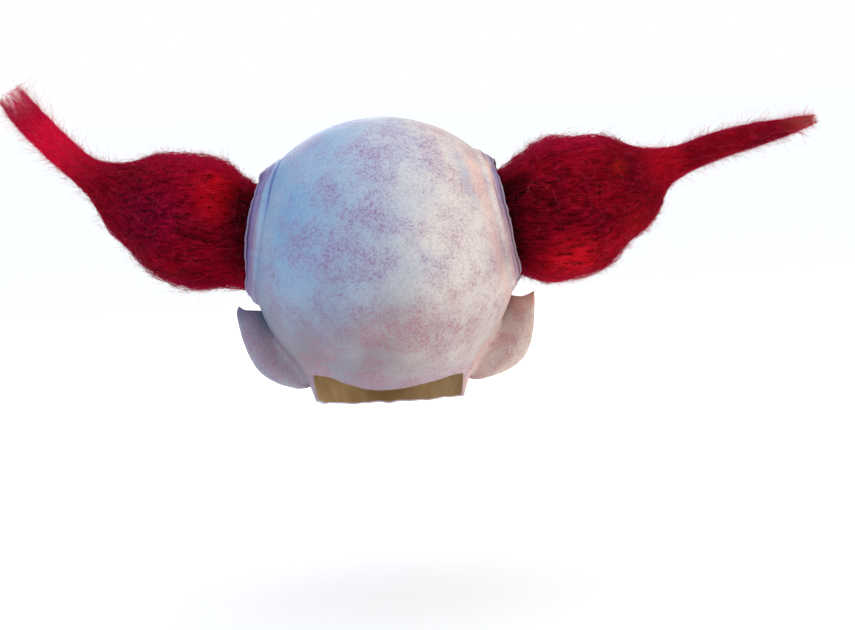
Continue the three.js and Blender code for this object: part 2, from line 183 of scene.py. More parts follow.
EAR_BOWL = {"across": 0.5, "width": 0.2, "down": 0.45, "tall": 0.28, "depth": 2.0}
EAR_BACK_RIM = {"across": 0.92, "width": 0.05, "lift": 0.8}
EAR_TIP_SHARE = 0.1
EAR_END_SHARE = 1 / 7
EAR_RIPPLE = {"lift": 0.25, "wavelength": 22, "seed": 5}
EAR_STEPS = {"around": 72, "down": 54}
EAR_BOX = {"side": 50, "drop": 187, "y": 8, "seam": (42, 26), "paint": (45, 30)}
EAR_EDGE = (0.72, 0.97)
EAR_TIP = {"x": 121, "drop": 149, "fade": (3, 15)}
EAR_CREASE = {"y": 22, "width": 9, "drop": 190, "half_tall": 45}
EAR_STANDS_OUT = (1, 5)
SEAM = {"nose": 3, "ear": 2.4, "flap": 3, "from_flap": 4, "rounds": 8}

# Hair collar: a raised latex ring on the head's side, on the ear line or a little behind it.
COLLAR = {"drop": 89, "edge": 58, "lip": 48, "bore": 45.6, "height": 5.2, "sunk": -0.5}
COLLAR_SET_BACK = {1: 0, -1: 8}
COLLAR_RISE = {1: 2.6, -1: 0.4}
COLLAR_WAVES = {"count": 5, "radius": 1.2, "height": 0.8}
COLLAR_STEPS = {"around": 300, "section": 42}
BORE_SHARE = 0.42
COLLAR_AWAY = (-20, 60)
LIP_RIPPLES = table(
    "lift wavelength seed",
    (0.9, 30, 11),
    (0.55, 11, 13),
    (0.3, 4, 15),
)
WRINKLE = {
    "around": 26, "across": 2.1, "wavelength": 1.6, "seed": 17, "lift": 0.4, "from_height": (0.4, 2.5),
}

# Hair tufts, from inside the collar to the tip: distance out from the middle plane.
TUFT_ROWS = {
    "left": table(
        "out drop depth radius",
        (97, 91, 0, 43),
        (110, 91, 1, 43.8),
        (122, 87.8, 3, 46),
        (138, 82.5, 5, 53),
        (159, 73.5, 6, 54),
        (181, 63, 5, 46),
        (201, 55, 4, 34.5),
        (220, 44, 3, 19.4),
        (238, 31.5, 2, 11.5),
        (259, 11.5, 1, 11),
        (278, -10, 0, 11),
        (291, -27, 0, 10),
        (298, -36, 0, 8.5),
    ),
    "right": table(
        "out drop depth radius",
        (97, 91, 8, 42.5),
        (110, 89.5, 9, 46),
        (121, 88, 10, 52.5),
        (137, 85.5, 10, 57),
        (158, 78.5, 9, 58.5),
        (182, 70, 7, 48.8),
        (205, 64, 5, 38),
        (226, 54.5, 3, 19),
        (247, 47.5, 2, 11.5),
        (278, 37, 1, 10.2),
        (312, 29.5, 0, 8.5),
        (342, 23.5, 0, 5),
        (362, 18.5, 0, 2.5),
    ),
}
TUFT_FLATTEN = {"body": 0.92, "root": 1.03, "ends": (0.02, 0.14)}
CORE_SHARE = {"body": 0.965, "tail": 0.78, "radii": (10, 34), "thinnest": 0.3}
CORE_END = (0.87, 0.975)
TIP_FRAY = (0.94, 0.998)
SHORTEST_STRAND = 0.006
LOCK_PATTERN = {"along": 1.2, "size": 0.16}
LUMP_PATTERN = {"along": 2.5, "size": 0.42}
CORE_STEPS = {"around": 56, "along": 72}
CORE_RIPPLE = {"share": 0.03, "wavelength": 30, "seed": 21}
# Roots rest on the head and fill the collar's bore. The oval is the head's side, for the strands.
ROOT_PLUG = {"radius": 44.8, "heights": (0.7, 3.4)}
ROOT_OVAL = {"radii": (111.5, 119, 108), "drop": 106}
SPINE_POINTS = 90

# Strands of a tuft, layer by layer. Starts and lengths are shares of its length, depths of its radius.
HAIR_LAYERS = ("locks", "fuzz", "flecks", "flyaways")
HAIR_SIZES = {
    "Strands": (4700, 8400, 1900, 700),
    "Points": (6, 4, 4, 8),
    "Start Low": (0.0, 0.01, 0.06, 0.04),
    "Start High": (0.90, 0.985, 0.98, 0.96),
    "Start Bias": (1.2, 1.0, 0.9, 0.5),
    "Length Low": (0.07, 0.008, 0.006, 0.03),
    "Length High": (0.17, 0.026, 0.016, 0.08),
    "Depth Low": (0.94, 0.97, 1.00, 1.00),
    "Depth High": (1.0, 1.02, 1.03, 1.04),
    "Wander": (0.30, 0.40, 0.5, 0.6),
    "Clump": (0.05, 0.05, 0.05, 0.05),
    "Frizz": (14.0 * MM, 16.0 * MM, 7.0 * MM, 26.0 * MM),
    "Frizz Rate": (30.0, 80.0, 70.0, 55.0),
    "Thickness": (0.19 * MM, 0.11 * MM, 0.075 * MM, 0.085 * MM),
    "Fly": (0.0, 8.0 * MM, 1.0 * MM, 16.0 * MM),
    "Fly Power": (1.0, 3.2, 2.0, 1.6),
    "Fade": (0.0, 0.16, 0.55, 0.45),
}
HAIR_SEED = 7

# Where sponged marks gather or thin out on the back of the head, with the reach of each patch.
PAINT_PATCHES = table(
    "name x drop reach gain",
    ("crown", -30, 16, 40, 0.07),
    ("upper_middle", 20, 50, 42, 0.07),
    ("middle", 17, 98, 42, 0.12),
    ("left_middle", 58, 100, 36, 0.10),
    ("low_left", 48, 130, 28, 0.06),
    ("low_middle", 14, 158, 34, 0.09),
    ("low_right", -42, 160, 42, 0.08),
    ("low_left_edge", 54, 174, 34, 0.09),
    ("nape", 20, 202, 36, 0.06),
    ("left_nape", 36, 200, 30, 0.08),
    ("clear_right", -36, 76, 40, -0.08),
    ("clear_middle", 2, 131, 30, -0.06),
    ("clear_high_left", 72, 58, 42, -0.10),
)

# Brush marks: where a scatter starts, its cell, and the half length and half width of its marks.
BRUSH_MARKS = {
    "short": ((2, 6, 1), 2.7 * MM, 1.5 * MM, 0.5 * MM),
    "long": ((8, 2, 5), 4.2 * MM, 2.4 * MM, 0.55 * MM),
    "longest": ((5, 3, 9), 7.5 * MM, 3.8 * MM, 0.55 * MM),
}
SCRIBBLE = ((4, 9, 7), 4.2 * MM, 0.040)

# Paint of the ears, in the order it goes on: colours of both sides and how much of each.
EAR_TINTS = table(
    "name right left right_share left_share",
    ("ground", (0.55, 0.41, 0.34), (0.42, 0.41, 0.46), 0.35, 0.55),
    # The right ear's cream edge is partly paint and partly a painted highlight.
    ("middle", (0.50, 0.24, 0.21), (0.34, 0.22, 0.34), 0.60, 0.60),
    ("edge", (0.80, 0.68, 0.56), (0.37, 0.39, 0.50), 0.60, 0.60),
    ("tip", (0.50, 0.25, 0.17), (0.23, 0.23, 0.35), 0.85, 0.85),
)

# Where painted shade darkens the back of the head, seen from behind.
PAINTED_SHADE_SPOTS = table(
    "name x drop reach share",
    ("low_middle", 2, 168, 56, 0.26),
    ("centre", 5, 98, 46, 0.09),
    ("right_side", -99, 112, 28, 0.30),
    ("left_nape", 38, 200, 38, -0.24),
)

# Tones of the teased hair where they change: place, reach, colour and how much of it.
HAIR_TONES = table(
    "name x drop reach colour share",
    ("left_top", 150, 40, 44, (0.50, 0.002, 0.035), 0.70),
    ("left_bright", 126, 54, 34, (0.80, 0.003, 0.010), 0.88),
    ("left_maroon", 186, 70, 46, (0.25, 0.001, 0.040), 0.85),
    ("left_low", 148, 114, 38, (0.36, 0.001, 0.014), 0.70),
    ("left_tail", 258, 10, 58, (0.96, 0.008, 0.060), 0.95),
    ("left_tip", 290, -32, 26, (0.95, 0.15, 0.25), 0.80),
    # Painted shadow at the right tuft's root, beside its collar.
    ("right_root", -126, 72, 30, (0.17, 0.002, 0.007), 0.75),
    ("right_spot", -192, 49, 10, (0.82, 0.030, 0.012), 0.60),
    ("right_top", -158, 27, 34, (0.60, 0.003, 0.030), 0.75),
    ("right_low", -150, 128, 42, (0.92, 0.010, 0.024), 0.88),
    ("right_outer", -207, 93, 26, (0.60, 0.008, 0.016), 0.75),
    ("right_edge", -190, 110, 24, (0.70, 0.004, 0.024), 0.80),
    ("right_neck", -232, 48, 34, (0.84, 0.006, 0.028), 0.80),
    ("right_tail", -284, 30, 34, (0.46, 0.005, 0.016), 0.65),
    ("right_tip", -350, 18, 26, (0.80, 0.15, 0.12), 0.70),
)
# The painted shadow on the roots beside the collars, in metres from a place between them.
ROOT_SHADE = {"x": 0.0025, "z": -0.083, "out": (0.1065, 0.1295), "tall": (0.024, 0.046)}

TAIL_GLOW = {"place": (270, -2), "reach": 52, "colour": (0.08, 0.001, 0.009)}

# Painted shade in the gaps between locks, seen from behind: place of both ends, reach and how dark.
HAIR_GAPS = table(
    "start end reach share",
    ((162, 80), (150, 86), 4.0, 0.55),
    ((150, 86), (135, 90.5), 4.0, 0.65),
    ((172, 103), (150, 102), 4.0, 0.5),
    ((-140, 114), (-156, 107), 4.5, 0.6),
    ((-122, 66), (-136, 72), 5.0, 0.6),
    ((-160, 58), (-176, 62), 4.5, 0.4),
)

# View of the photograph: where the head's middle lies in the frame, in pixels, and the lens.
PHOTO = {"width": 855, "height": 630}
HEAD_PIXEL = (383, 254.6)
HEAD_MIDDLE = Vector((0, 0, -0.110))
METRES_PER_PIXEL = 0.82 * MM
VIEW_DISTANCE = 1.6
VIEW_ELEVATION = math.radians(4.5)
VIEW_ROLL = math.radians(3.0)
SENSOR = 36.0

# Studio, in metres and watts: the floor, light from all round and from above, and disks of light.
FLOOR = {"z": -0.391, "x": (-40, 40), "y": (-60, 20)}
ALL_ROUND = {"colour": (0.72, 0.86, 1.0), "strength": 0.24}
OVERHEAD = {"energy": 2.75, "spread": 110}
LIGHTS = table(
    "name place size power colour",
    ("cool_side", (1.9, 1.3, 0.5), 1.4, 4, (0.35, 0.66, 1.0)),
    ("warm_side", (-2.0, 1.1, 0.4), 1.2, 14, (1.0, 0.88, 0.74)),
    ("face_fill", (0.35, -2.2, 0.5), 1.0, 16, (1.0, 0.98, 0.96)),
)


# Curves and shapes

def catmull_rom(values, steps, before, after):
    """A column of a table at evenly spaced places, with given values past both ends."""
    knots = np.concatenate([[before], np.asarray(values, float), [after]])
    place = np.linspace(0, len(values) - 1, steps)
    index = np.minimum(place.astype(int), len(values) - 2)
    f = place - index
    a, b, c, d = (knots[index + k] for k in range(4))
    cubic = 3 * (b - c) + d - a
    square = 2 * a - 5 * b + 4 * c - d
    return b + 0.5 * f * (c - a + f * (square + f * cubic))


def open_columns(rows, steps):
    """Every column of an open table, whose ends run straight on, as a dict of arrays."""
    columns = {}
    for name in rows[0]._fields:
        values = [getattr(row, name) for row in rows]
        before = 2 * values[0] - values[1]
        after = 2 * values[-1] - values[-2]
        columns[name] = catmull_rom(values, steps, before, after)
    return columns


def head_columns():
    """The head's sections, finely stepped. Past the crown the head comes down on the far side."""
    columns = {}
    for name in HEAD_SECTIONS[0]._fields:
        values = [getattr(row, name) for row in HEAD_SECTIONS]
        before = values[1] if name == "drop" else -values[1]
        after = 2 * values[-1] - values[-2]
        columns[name] = catmull_rom(values, PLACE_STEPS, before, after)
    return columns


HEAD = head_columns()
HEAD_PLACES = np.linspace(0, 1, PLACE_STEPS)


def smooth(value, low, high):
    """A smooth step from 0 at low to 1 at high."""
    t = np.clip((value - low) / (high - low), 0, 1)
    return t * t * (3 - 2 * t)


def bell(value, width):
    return np.exp(-((value / width) ** 2))


def ripple(points, wavelength, seed, waves=14):
    """Smooth seeded unevenness of about -1 to 1, with a wavelength in the points' own unit."""
    rng = np.random.default_rng(seed)
    way = rng.normal(size=(waves, points.shape[-1]))
    way /= np.linalg.norm(way, axis=1)[:, None]
    rate = 2 * math.pi / wavelength * rng.uniform(0.7, 1.4, waves)
    phase = rng.uniform(0, 2 * math.pi, waves)
    return np.sin(points @ (way * rate[:, None]).T + phase).sum(axis=-1) / math.sqrt(2 * waves)


def signed_power(value):
    return np.sign(value) * np.abs(value) ** (2 / ROUNDNESS)


def head_at(name, place):
    return np.interp(place, HEAD_PLACES, HEAD[name])


def place_at_drop(drop):
    return np.interp(drop, HEAD["drop"], HEAD_PLACES)


def rim_drop(azimuth):
    """Drop of the lower edge at an azimuth in degrees from the nape."""
    turned = np.abs((azimuth + 180) % 360 - 180)
    angle = np.radians(azimuth)
    ring = np.stack([np.cos(angle), np.sin(angle)], axis=-1)
    rows = np.array(RIM_EDGE, float)
    left, right = (np.interp(turned, rows[:, 0], rows[:, k]) for k in (1, 2))
    return np.where(azimuth % 360 < 180, left, right) + RIM_WAVE * ripple(ring, 0.3, 4)


def face_lift(x, y, drop):
    """How far the face's main relief stands out."""
    lift = np.zeros_like(x)
    for row in FACE_RELIEF:
        across = np.abs(x) - row.side if row.side else x
        lift += row.lift * bell(across, row.half_wide) * bell(drop - row.drop, row.half_tall)
    return lift * smooth(-y, *FACE_START)


def fold_distance(fold, x, drop):
    """Distance from a fold's bowed line, measured on the face's front."""
    t = np.linspace(0, 1, FOLD_STEPS)[:, None]
    start, middle, end = (np.array(p, float) for p in (fold.start, fold.middle, fold.end))
    line = (1 - t) ** 2 * start + 2 * t * (1 - t) * middle + t**2 * end
    spot = np.stack([np.abs(x), drop], axis=-1)
    return np.min(np.linalg.norm(spot[..., None, :] - line, axis=-1), axis=-1)


def lid_offset(x, drop):
    """Distance above or below the eye hole's almond edge."""
    across = (np.abs(x) - EYE["side"]) / EYE["half_wide"]
    return np.abs(drop - EYE["drop"]) - EYE["half_tall"] * (1 - across**2)


def beside_eye(x):
    """1 over the middle of an eye hole, fading past its corners."""
    return bell((np.abs(x) - EYE["side"]) / EYE["half_wide"], LID["reach"])


def fine_lift(points):
    """Folds, eyelids and the slight unevenness of a hand-finished casting."""
    x, y = points[..., 0], points[..., 1]
    drop = CROWN_Z - points[..., 2]
    lift = np.zeros_like(x)
    for fold in FACE_FOLDS:
        lift -= fold.depth * bell(fold_distance(fold, x, drop), fold.width)
    lift += LID["lift"] * beside_eye(x) * bell(lid_offset(x, drop) - LID["off"], LID["width"])
    lift *= smooth(-y, *FACE_START)
    for row in CAST_RIPPLES:
        lift = lift + row.lift * ripple(points, row.wavelength, row.seed)
    return lift


def head_point(azimuth, place):
    """Points of the head's outside, with its main relief."""
    angle = np.radians(azimuth)
    back = np.cos(angle) > 0
    half_width = head_at("half_width", place)
    depth = np.where(back, head_at("back", place), head_at("front", place))
    drop = head_at("drop", place)
    x = half_width * signed_power(np.sin(angle))
    y = depth * signed_power(np.cos(angle))
    way_x, way_y = x / (half_width**2 + 1), y / (depth**2 + 1)
    size = np.maximum(np.hypot(way_x, way_y), 1e-9)
    lift = face_lift(x, y, drop)
    return np.stack([x + lift * way_x / size, y + lift * way_y / size, CROWN_Z - drop], axis=-1)


def height_over_head(points):
    """Roughly how far points stand out from the head's outside, measured level."""
    x, y = points[..., 0], points[..., 1]
    drop = np.clip(CROWN_Z - points[..., 2], *SAFE_DROPS)
    place = place_at_drop(drop)
    depth = np.where(y > 0, head_at("back", place), head_at("front", place))
    share = (np.abs(x) / head_at("half_width", place)) ** ROUNDNESS + np.abs(y / depth) ** ROUNDNESS
    share = np.maximum(share, 1e-6) ** (1 / ROUNDNESS)
    return np.hypot(x, y) * (1 - 1 / share) - face_lift(x, y, drop)


def grid_normals(points):
    """Outward normals of a grid of rows from the crown down, closed round its columns."""
    down = np.gradient(points, axis=0)
    around = np.roll(points, -1, axis=1) - np.roll(points, 1, axis=1)
    normal = np.cross(around, down)
    normal[0] = (0, 0, 1)
    size = np.linalg.norm(normal, axis=-1, keepdims=True)
    normal = normal / np.maximum(size, 1e-9)
    nape = normal[CROWN_ROWS, 0]
    return normal if nape[1] > 0 else -normal


# Meshes and pieces

def add_object(name, data):
    """A new object in the scene, at the origin."""
    made = bpy.data.objects.new(name, data)
    bpy.context.scene.collection.objects.link(made)
    return made


def mesh_object(name, points, faces):
    """A mesh object at the origin, from points in millimetres."""
    mesh = bpy.data.meshes.new(name)
    mesh.from_pydata((np.asarray(points, float) * MM).tolist(), [], faces)
    mesh.polygons.foreach_set("use_smooth", np.ones(len(mesh.polygons), bool))
    return add_object(name, mesh)


def ring_faces(rows, columns, start=0, closed_rows=False):
    """Quads between rings of vertices that follow each other, each closed round its columns."""
    i = np.arange(rows if closed_rows else rows - 1)[:, None]
    j = np.arange(columns)[None, :]
    next_i, next_j = (i + 1) % rows, (j + 1) % columns
    corners = [i * columns + j, i * columns + next_j, next_i * columns + next_j, next_i * columns + j]
    quads = np.stack([np.broadcast_to(c, (len(i), columns)) for c in corners], axis=-1)
    return (quads.reshape(-1, 4) + start).tolist()


def fan_faces(tip, ring, turned=False):
    """Triangles from one vertex to a closed ring of vertices."""
    pairs = zip(ring, ring[1:] + ring[:1])
    return [(tip, b, a) if turned else (tip, a, b) for a, b in pairs]


def point_outwards(piece):
    """Turns every face of a closed mesh outwards."""
    shape = bmesh.new()
    shape.from_mesh(piece.data)
    bmesh.ops.recalc_face_normals(shape, faces=shape.faces)
    if shape.calc_volume(signed=True) < 0:
        bmesh.ops.reverse_faces(shape, faces=shape.faces)
    shape.to_mesh(piece.data)
    shape.free()


def capped_rings(name, first, rings, last):
    """A closed mesh of rings of points, drawn together to one point at either end."""
    rows, columns = rings.shape[:2]
    end = rows * columns + 1
    faces = ring_faces(rows, columns, start=1)
    faces += fan_faces(0, list(range(1, columns + 1)), turned=True)
    faces += fan_faces(end, list(range(end - columns, end)))
    piece = mesh_object(name, np.concatenate([[first], rings.reshape(-1, 3), [last]]), faces)
    point_outwards(piece)
    return piece


def flat_ended_rings(name, rings):
    """A closed mesh of rings of points, with a flat face at either end."""
    rows, columns = rings.shape[:2]
    faces = ring_faces(rows, columns)
    faces.append(list(range(columns)))
    faces.append(list(range((rows - 1) * columns, rows * columns))[::-1])
    piece = mesh_object(name, rings.reshape(-1, 3), faces)
    point_outwards(piece)
    return piece


def take_result(piece):
    """Turns what a piece's modifiers make into its own plain mesh."""
    graph = bpy.context.evaluated_depsgraph_get()
    mesh = bpy.data.meshes.new_from_object(piece.evaluated_get(graph), depsgraph=graph)
    piece.modifiers.clear()
    piece.data = mesh


def cut_or_join(piece, other, operation):
    """Joins another closed mesh to a piece, or cuts it away, and removes the other."""
    change = piece.modifiers.new("change", "BOOLEAN")
    change.operation = operation
    change.solver = "MANIFOLD"
    change.object = other
    bpy.context.view_layer.update()
    take_result(piece)
    bpy.data.objects.remove(other)


def vertex_array(piece):
    """A mesh's vertices in millimetres."""
    flat = np.zeros(len(piece.data.vertices) * 3)
    piece.data.vertices.foreach_get("co", flat)
    return flat.reshape(-1, 3) / MM


def store(piece, name, values):
    """Keeps a value for each vertex, for the materials to read."""
    attribute = piece.data.attributes.new(name, "FLOAT", "POINT")
    attribute.data.foreach_set("value", np.asarray(values, np.float32))


def finish_piece(piece, replaced=(), materials=()):
    """Gives a piece its materials, and says what it rides on and stands for."""
    for material in materials:
        piece.data.materials.append(material)
    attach(piece, BODY)
    if replaced:
        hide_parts(*replaced)


# Node trees

def socket_of(sockets, key):
    """A socket by its place, its identifier or its name."""
    if isinstance(key, int):
        return sockets[key]
    for socket in sockets:
        if socket.identifier == key:
            return socket
    return next(socket for socket in sockets if socket.name == key and socket.enabled)


class Wire:
    """A node's output in arithmetic: each operator adds the Math node that works it out."""

    def __init__(self, nodes, socket):
        self.nodes = nodes
        self.socket = socket

    def out(self, key):
        return Wire(self.nodes, socket_of(self.socket.node.outputs, key))

    def __add__(self, other):
        return self.nodes.math("ADD", self, other)

    def __radd__(self, other):
        return self.nodes.math("ADD", other, self)

    def __sub__(self, other):
        return self.nodes.math("SUBTRACT", self, other)

    def __rsub__(self, other):
        return self.nodes.math("SUBTRACT", other, self)

    def __mul__(self, other):
        return self.nodes.math("MULTIPLY", self, other)

    def __rmul__(self, other):
        return self.nodes.math("MULTIPLY", other, self)

    def __truediv__(self, other):
        return self.nodes.math("DIVIDE", self, other)

    def __pow__(self, other):
        return self.nodes.math("POWER", self, other)

    def __neg__(self):
        return self.nodes.math("MULTIPLY", self, -1)

    def __abs__(self):
        return self.nodes.math("ABSOLUTE", self)


class Nodes:
    """A node tree that hands out wires."""

    def __init__(self, tree):
        self.tree = tree

    def node(self, kind, settings=None, inputs=None, output=0):
        made = self.tree.nodes.new(kind)
        for key, value in (settings or {}).items():
            setattr(made, key, value)
        for key, value in (inputs or {}).items():
            self.feed(socket_of(made.inputs, key), value)
        return Wire(self, socket_of(made.outputs, output)) if made.outputs else made

    def feed(self, socket, value):
        if isinstance(value, Wire):
            self.tree.links.new(value.socket, socket)
        elif socket.type == "RGBA":
            socket.default_value = (*value, 1)
        else:
            socket.default_value = value

    def math(self, operation, *values):
        return self.node("ShaderNodeMath", {"operation": operation}, dict(enumerate(values)))

    def vector(self, operation, *values):
        return self.node("ShaderNodeVectorMath", {"operation": operation}, dict(enumerate(values)))

    def scaled(self, vector, share):
        settings = {"operation": "SCALE"}
        return self.node("ShaderNodeVectorMath", settings, {0: vector, "Scale": share})

    def joined(self, x, y, z):
        return self.node("ShaderNodeCombineXYZ", None, {0: x, 1: y, 2: z})

    def step(self, value, low, high):
        settings = {"interpolation_type": "SMOOTHSTEP"}
        inputs = {"Value": value, "From Min": low, "From Max": high}
        return self.node("ShaderNodeMapRange", settings, inputs)

    def mix(self, share, first, second, blend="MIX"):
        settings = {"data_type": "RGBA", "blend_type": blend}
        inputs = {"Factor_Float": share, "A_Color": first, "B_Color": second}
        return self.node("ShaderNodeMix", settings, inputs, "Result_Color")

    def noise(self, place, size, detail=2.0, roughness=0.5, distortion=0.0, output="Fac"):
        inputs = {
            "Vector": place, "Scale": 1 / size, "Detail": detail,
            "Roughness": roughness, "Distortion": distortion,
        }
        return self.node("ShaderNodeTexNoise", None, inputs, output)

    def attribute(self, name):
        return self.node("ShaderNodeAttribute", {"attribute_name": name}, None, "Fac")


# Materials

class Finish(Nodes):
    """A new material's tree, with its Principled shader."""

    def __init__(self, name, **constants):
        self.material = bpy.data.materials.new(name)
        self.material.use_nodes = True
        super().__init__(self.material.node_tree)
        self.shader = self.tree.nodes["Principled BSDF"]
        for key, value in constants.items():
            self.feed(socket_of(self.shader.inputs, key.replace("_", " ")), value)
        self.place = self.node("ShaderNodeTexCoord", None, None, "Object")
        parts = self.node("ShaderNodeSeparateXYZ", None, {0: self.place})
        self.x, self.y, self.z = (parts.out(k) for k in "XYZ")
        self.normal = self.place.out("Normal")
        self.seen = self.joined(self.x, 0.0, self.z)

    def shade(self, key, value):
        self.feed(socket_of(self.shader.inputs, key), value)

    def moved(self, offset, stretch=(1, 1, 1)):
        """Object coordinates moved and stretched, so that two patterns don't match."""
        inputs = {"Vector": self.place, "Location": offset, "Scale": stretch}
        return self.node("ShaderNodeMapping", None, inputs)

    def bump(self, height, strength, distance):
        inputs = {"Height": height, "Strength": strength, "Distance": distance}
        self.shade("Normal", self.node("ShaderNodeBump", None, inputs))

    def scribble(self, offset, size, width):
        """Fine worm-like marks: the middle band of a noise, broken up by another."""
        band = abs(self.noise(self.moved(offset), size, 1.2, 0.5, 0.5) - 0.5)
        line = 1 - self.step(band, 0.3 * width, width)
        gaps = self.step(self.noise(self.moved(offset[::-1]), 1.1 * size, 2.0, 0.6), 0.42, 0.56)
        return line * gaps

    def dashes(self, offset, cell, reach, width):
        """Short brush marks, one in each cell of a scatter, each lying its own way on the surface."""
        place = self.moved(offset)
        half = (0.5, 0.5, 0.5)
        sway = self.vector("SUBTRACT", self.noise(place, 0.7 * cell, 2.0, output="Color"), half)
        place = self.vector("ADD", place, self.scaled(sway, 0.6 * cell))
        cells = self.node("ShaderNodeTexVoronoi", None, {"Vector": place, "Scale": 1 / cell}, "Color")
        from_middle = self.vector("SUBTRACT", place, cells.out("Position"))
        way = self.vector("SUBTRACT", cells, half)
        side = self.vector("NORMALIZE", self.vector("CROSS_PRODUCT", self.normal, way))
        along = self.vector("CROSS_PRODUCT", side, self.normal)
        off = abs(self.vector("DOT_PRODUCT", from_middle, side).out("Value"))
        run = abs(self.vector("DOT_PRODUCT", from_middle, along).out("Value"))
        strength = self.step(self.node("ShaderNodeSeparateXYZ", None, {0: cells}, "Z"), 0.15, 0.85)
        line = 1 - self.step(off, 0.3 * width, width)
        return line * (1 - self.step(run, 0.6 * reach, reach)) * strength

    def within(self, reach, spot):
        """1 at a spot seen from behind, fading to 0 at a reach in millimetres from it."""
        away = self.vector("DISTANCE", self.seen, spot).out("Value")
        return 1 - self.step(away, 0.1 * reach * MM, reach * MM)

    def near(self, x, drop, reach):
        """The same round a place given by its x and its drop from the crown."""
        return self.within(reach, (x * MM, 0, (CROWN_Z - drop) * MM))

    def near_line(self, start, end, reach):
        """The same along a line between two such places."""
        start, end = (Vector((x, 0, CROWN_Z - drop)) * MM for x, drop in (start, end))
        run = end - start
        along = self.vector("DOT_PRODUCT", self.vector("SUBTRACT", self.seen, start), run).out("Value")
        along = self.node("ShaderNodeClamp", None, {"Value": along / run.length_squared})
        return self.within(reach, self.vector("ADD", self.scaled(run, along), start))

    def either(self, first, second):
        return self.math("MAXIMUM", first, second)

    def clouds(self, offset, size, low, high):
        return self.step(self.noise(self.moved(offset), size, 4.0, 0.55), low, high)

    def on_left(self):
        """1 on the mask's left half, 0 on its right."""
        return self.step(self.x, -0.02, 0.02)

    def at_collar_top(self):
        """1 at the height of the collars' upper parts, 0 at that of their lower parts."""
        return self.step(self.z, -0.085, -0.045)

    def on_tuft_body(self):
        """1 on the thick part of a hair tuft, 0 on its tail."""
        return 1 - self.step(abs(self.x), 0.20, 0.25)


# Colours of the paint, the latex and the hair
COOL_WHITE = (0.40, 0.51, 0.63)
CREAM = (0.73, 0.67, 0.62)
SKY = (0.17, 0.36, 0.62)
LILAC = (0.34, 0.27, 0.46)
ROSE = (0.50, 0.31, 0.34)
# Painted shade on the lower back of the head.
PAINTED_SHADE = (0.17, 0.115, 0.125)
PEACH = (0.84, 0.50, 0.40)
VIOLET_MARK = (0.26, 0.12, 0.29)
ROSE_MARK = (0.40, 0.14, 0.20)
COBALT = (0.06, 0.11, 0.42)
LIP_RED = (0.42, 0.010, 0.022)
BARE_LATEX = (0.66, 0.45, 0.23)
DARK_LATEX = (0.48, 0.30, 0.13)
POOLED_LATEX = (0.74, 0.54, 0.32)
WORN_RED = (0.24, 0.006, 0.016)
RIM_MAUVE = (0.46, 0.29, 0.38)
BLUSH_RED = (0.62, 0.12, 0.14)
EYE_VIOLET = (0.16, 0.10, 0.26)
BROW_BLACK = (0.07, 0.03, 0.07)
CREASE_SHADOW_GREY = (0.40, 0.43, 0.54)
# Painted shadow inside the collars' bores.
BORE_SHADOW = (0.03, 0.004, 0.010)
DEEP_CRIMSON = (0.24, 0.001, 0.013)
CRIMSON = (0.40, 0.002, 0.017)
LIT_CRIMSON = (0.80, 0.012, 0.050)
BACKLIT_FRINGE = (0.60, 0.006, 0.075)
LIT_FRINGE = (0.88, 0.24, 0.34)
STREAK_SHADE = (0.28, 0.24, 0.26)
GAP_SHADE = (0.03, 0.0004, 0.003)
ROOT_SHADOW = (0.014, 0.0008, 0.003)
LOCK_SHADE = (0.05, 0.0006, 0.006)
STRAND_RED = (0.60, 0.004, 0.024)
LOCK_LIGHT = (0.78, 0.012, 0.050)
CORE_SHADE = (0.52, 0.40, 0.42)
# Collar colours; the wrinkle tint is painted shade in the wrinkles' hollows.
COLLAR_TINTS = {
    "low_rose": (0.54, 0.34, 0.33), "low_lilac": (0.29, 0.19, 0.30), "high_lilac": (0.27, 0.22, 0.42),
    "pale": (0.47, 0.40, 0.41), "low_lip": (0.36, 0.22, 0.29), "high_lip": (0.20, 0.18, 0.40),
    "left_lip": (0.19, 0.14, 0.36), "wrinkle": (0.13, 0.10, 0.32), "lip_line": (0.04, 0.04, 0.26),
    "lip_edge": (0.42, 0.40, 0.54),
}

Ground = namedtuple("Ground", "colour marks mark_colour")


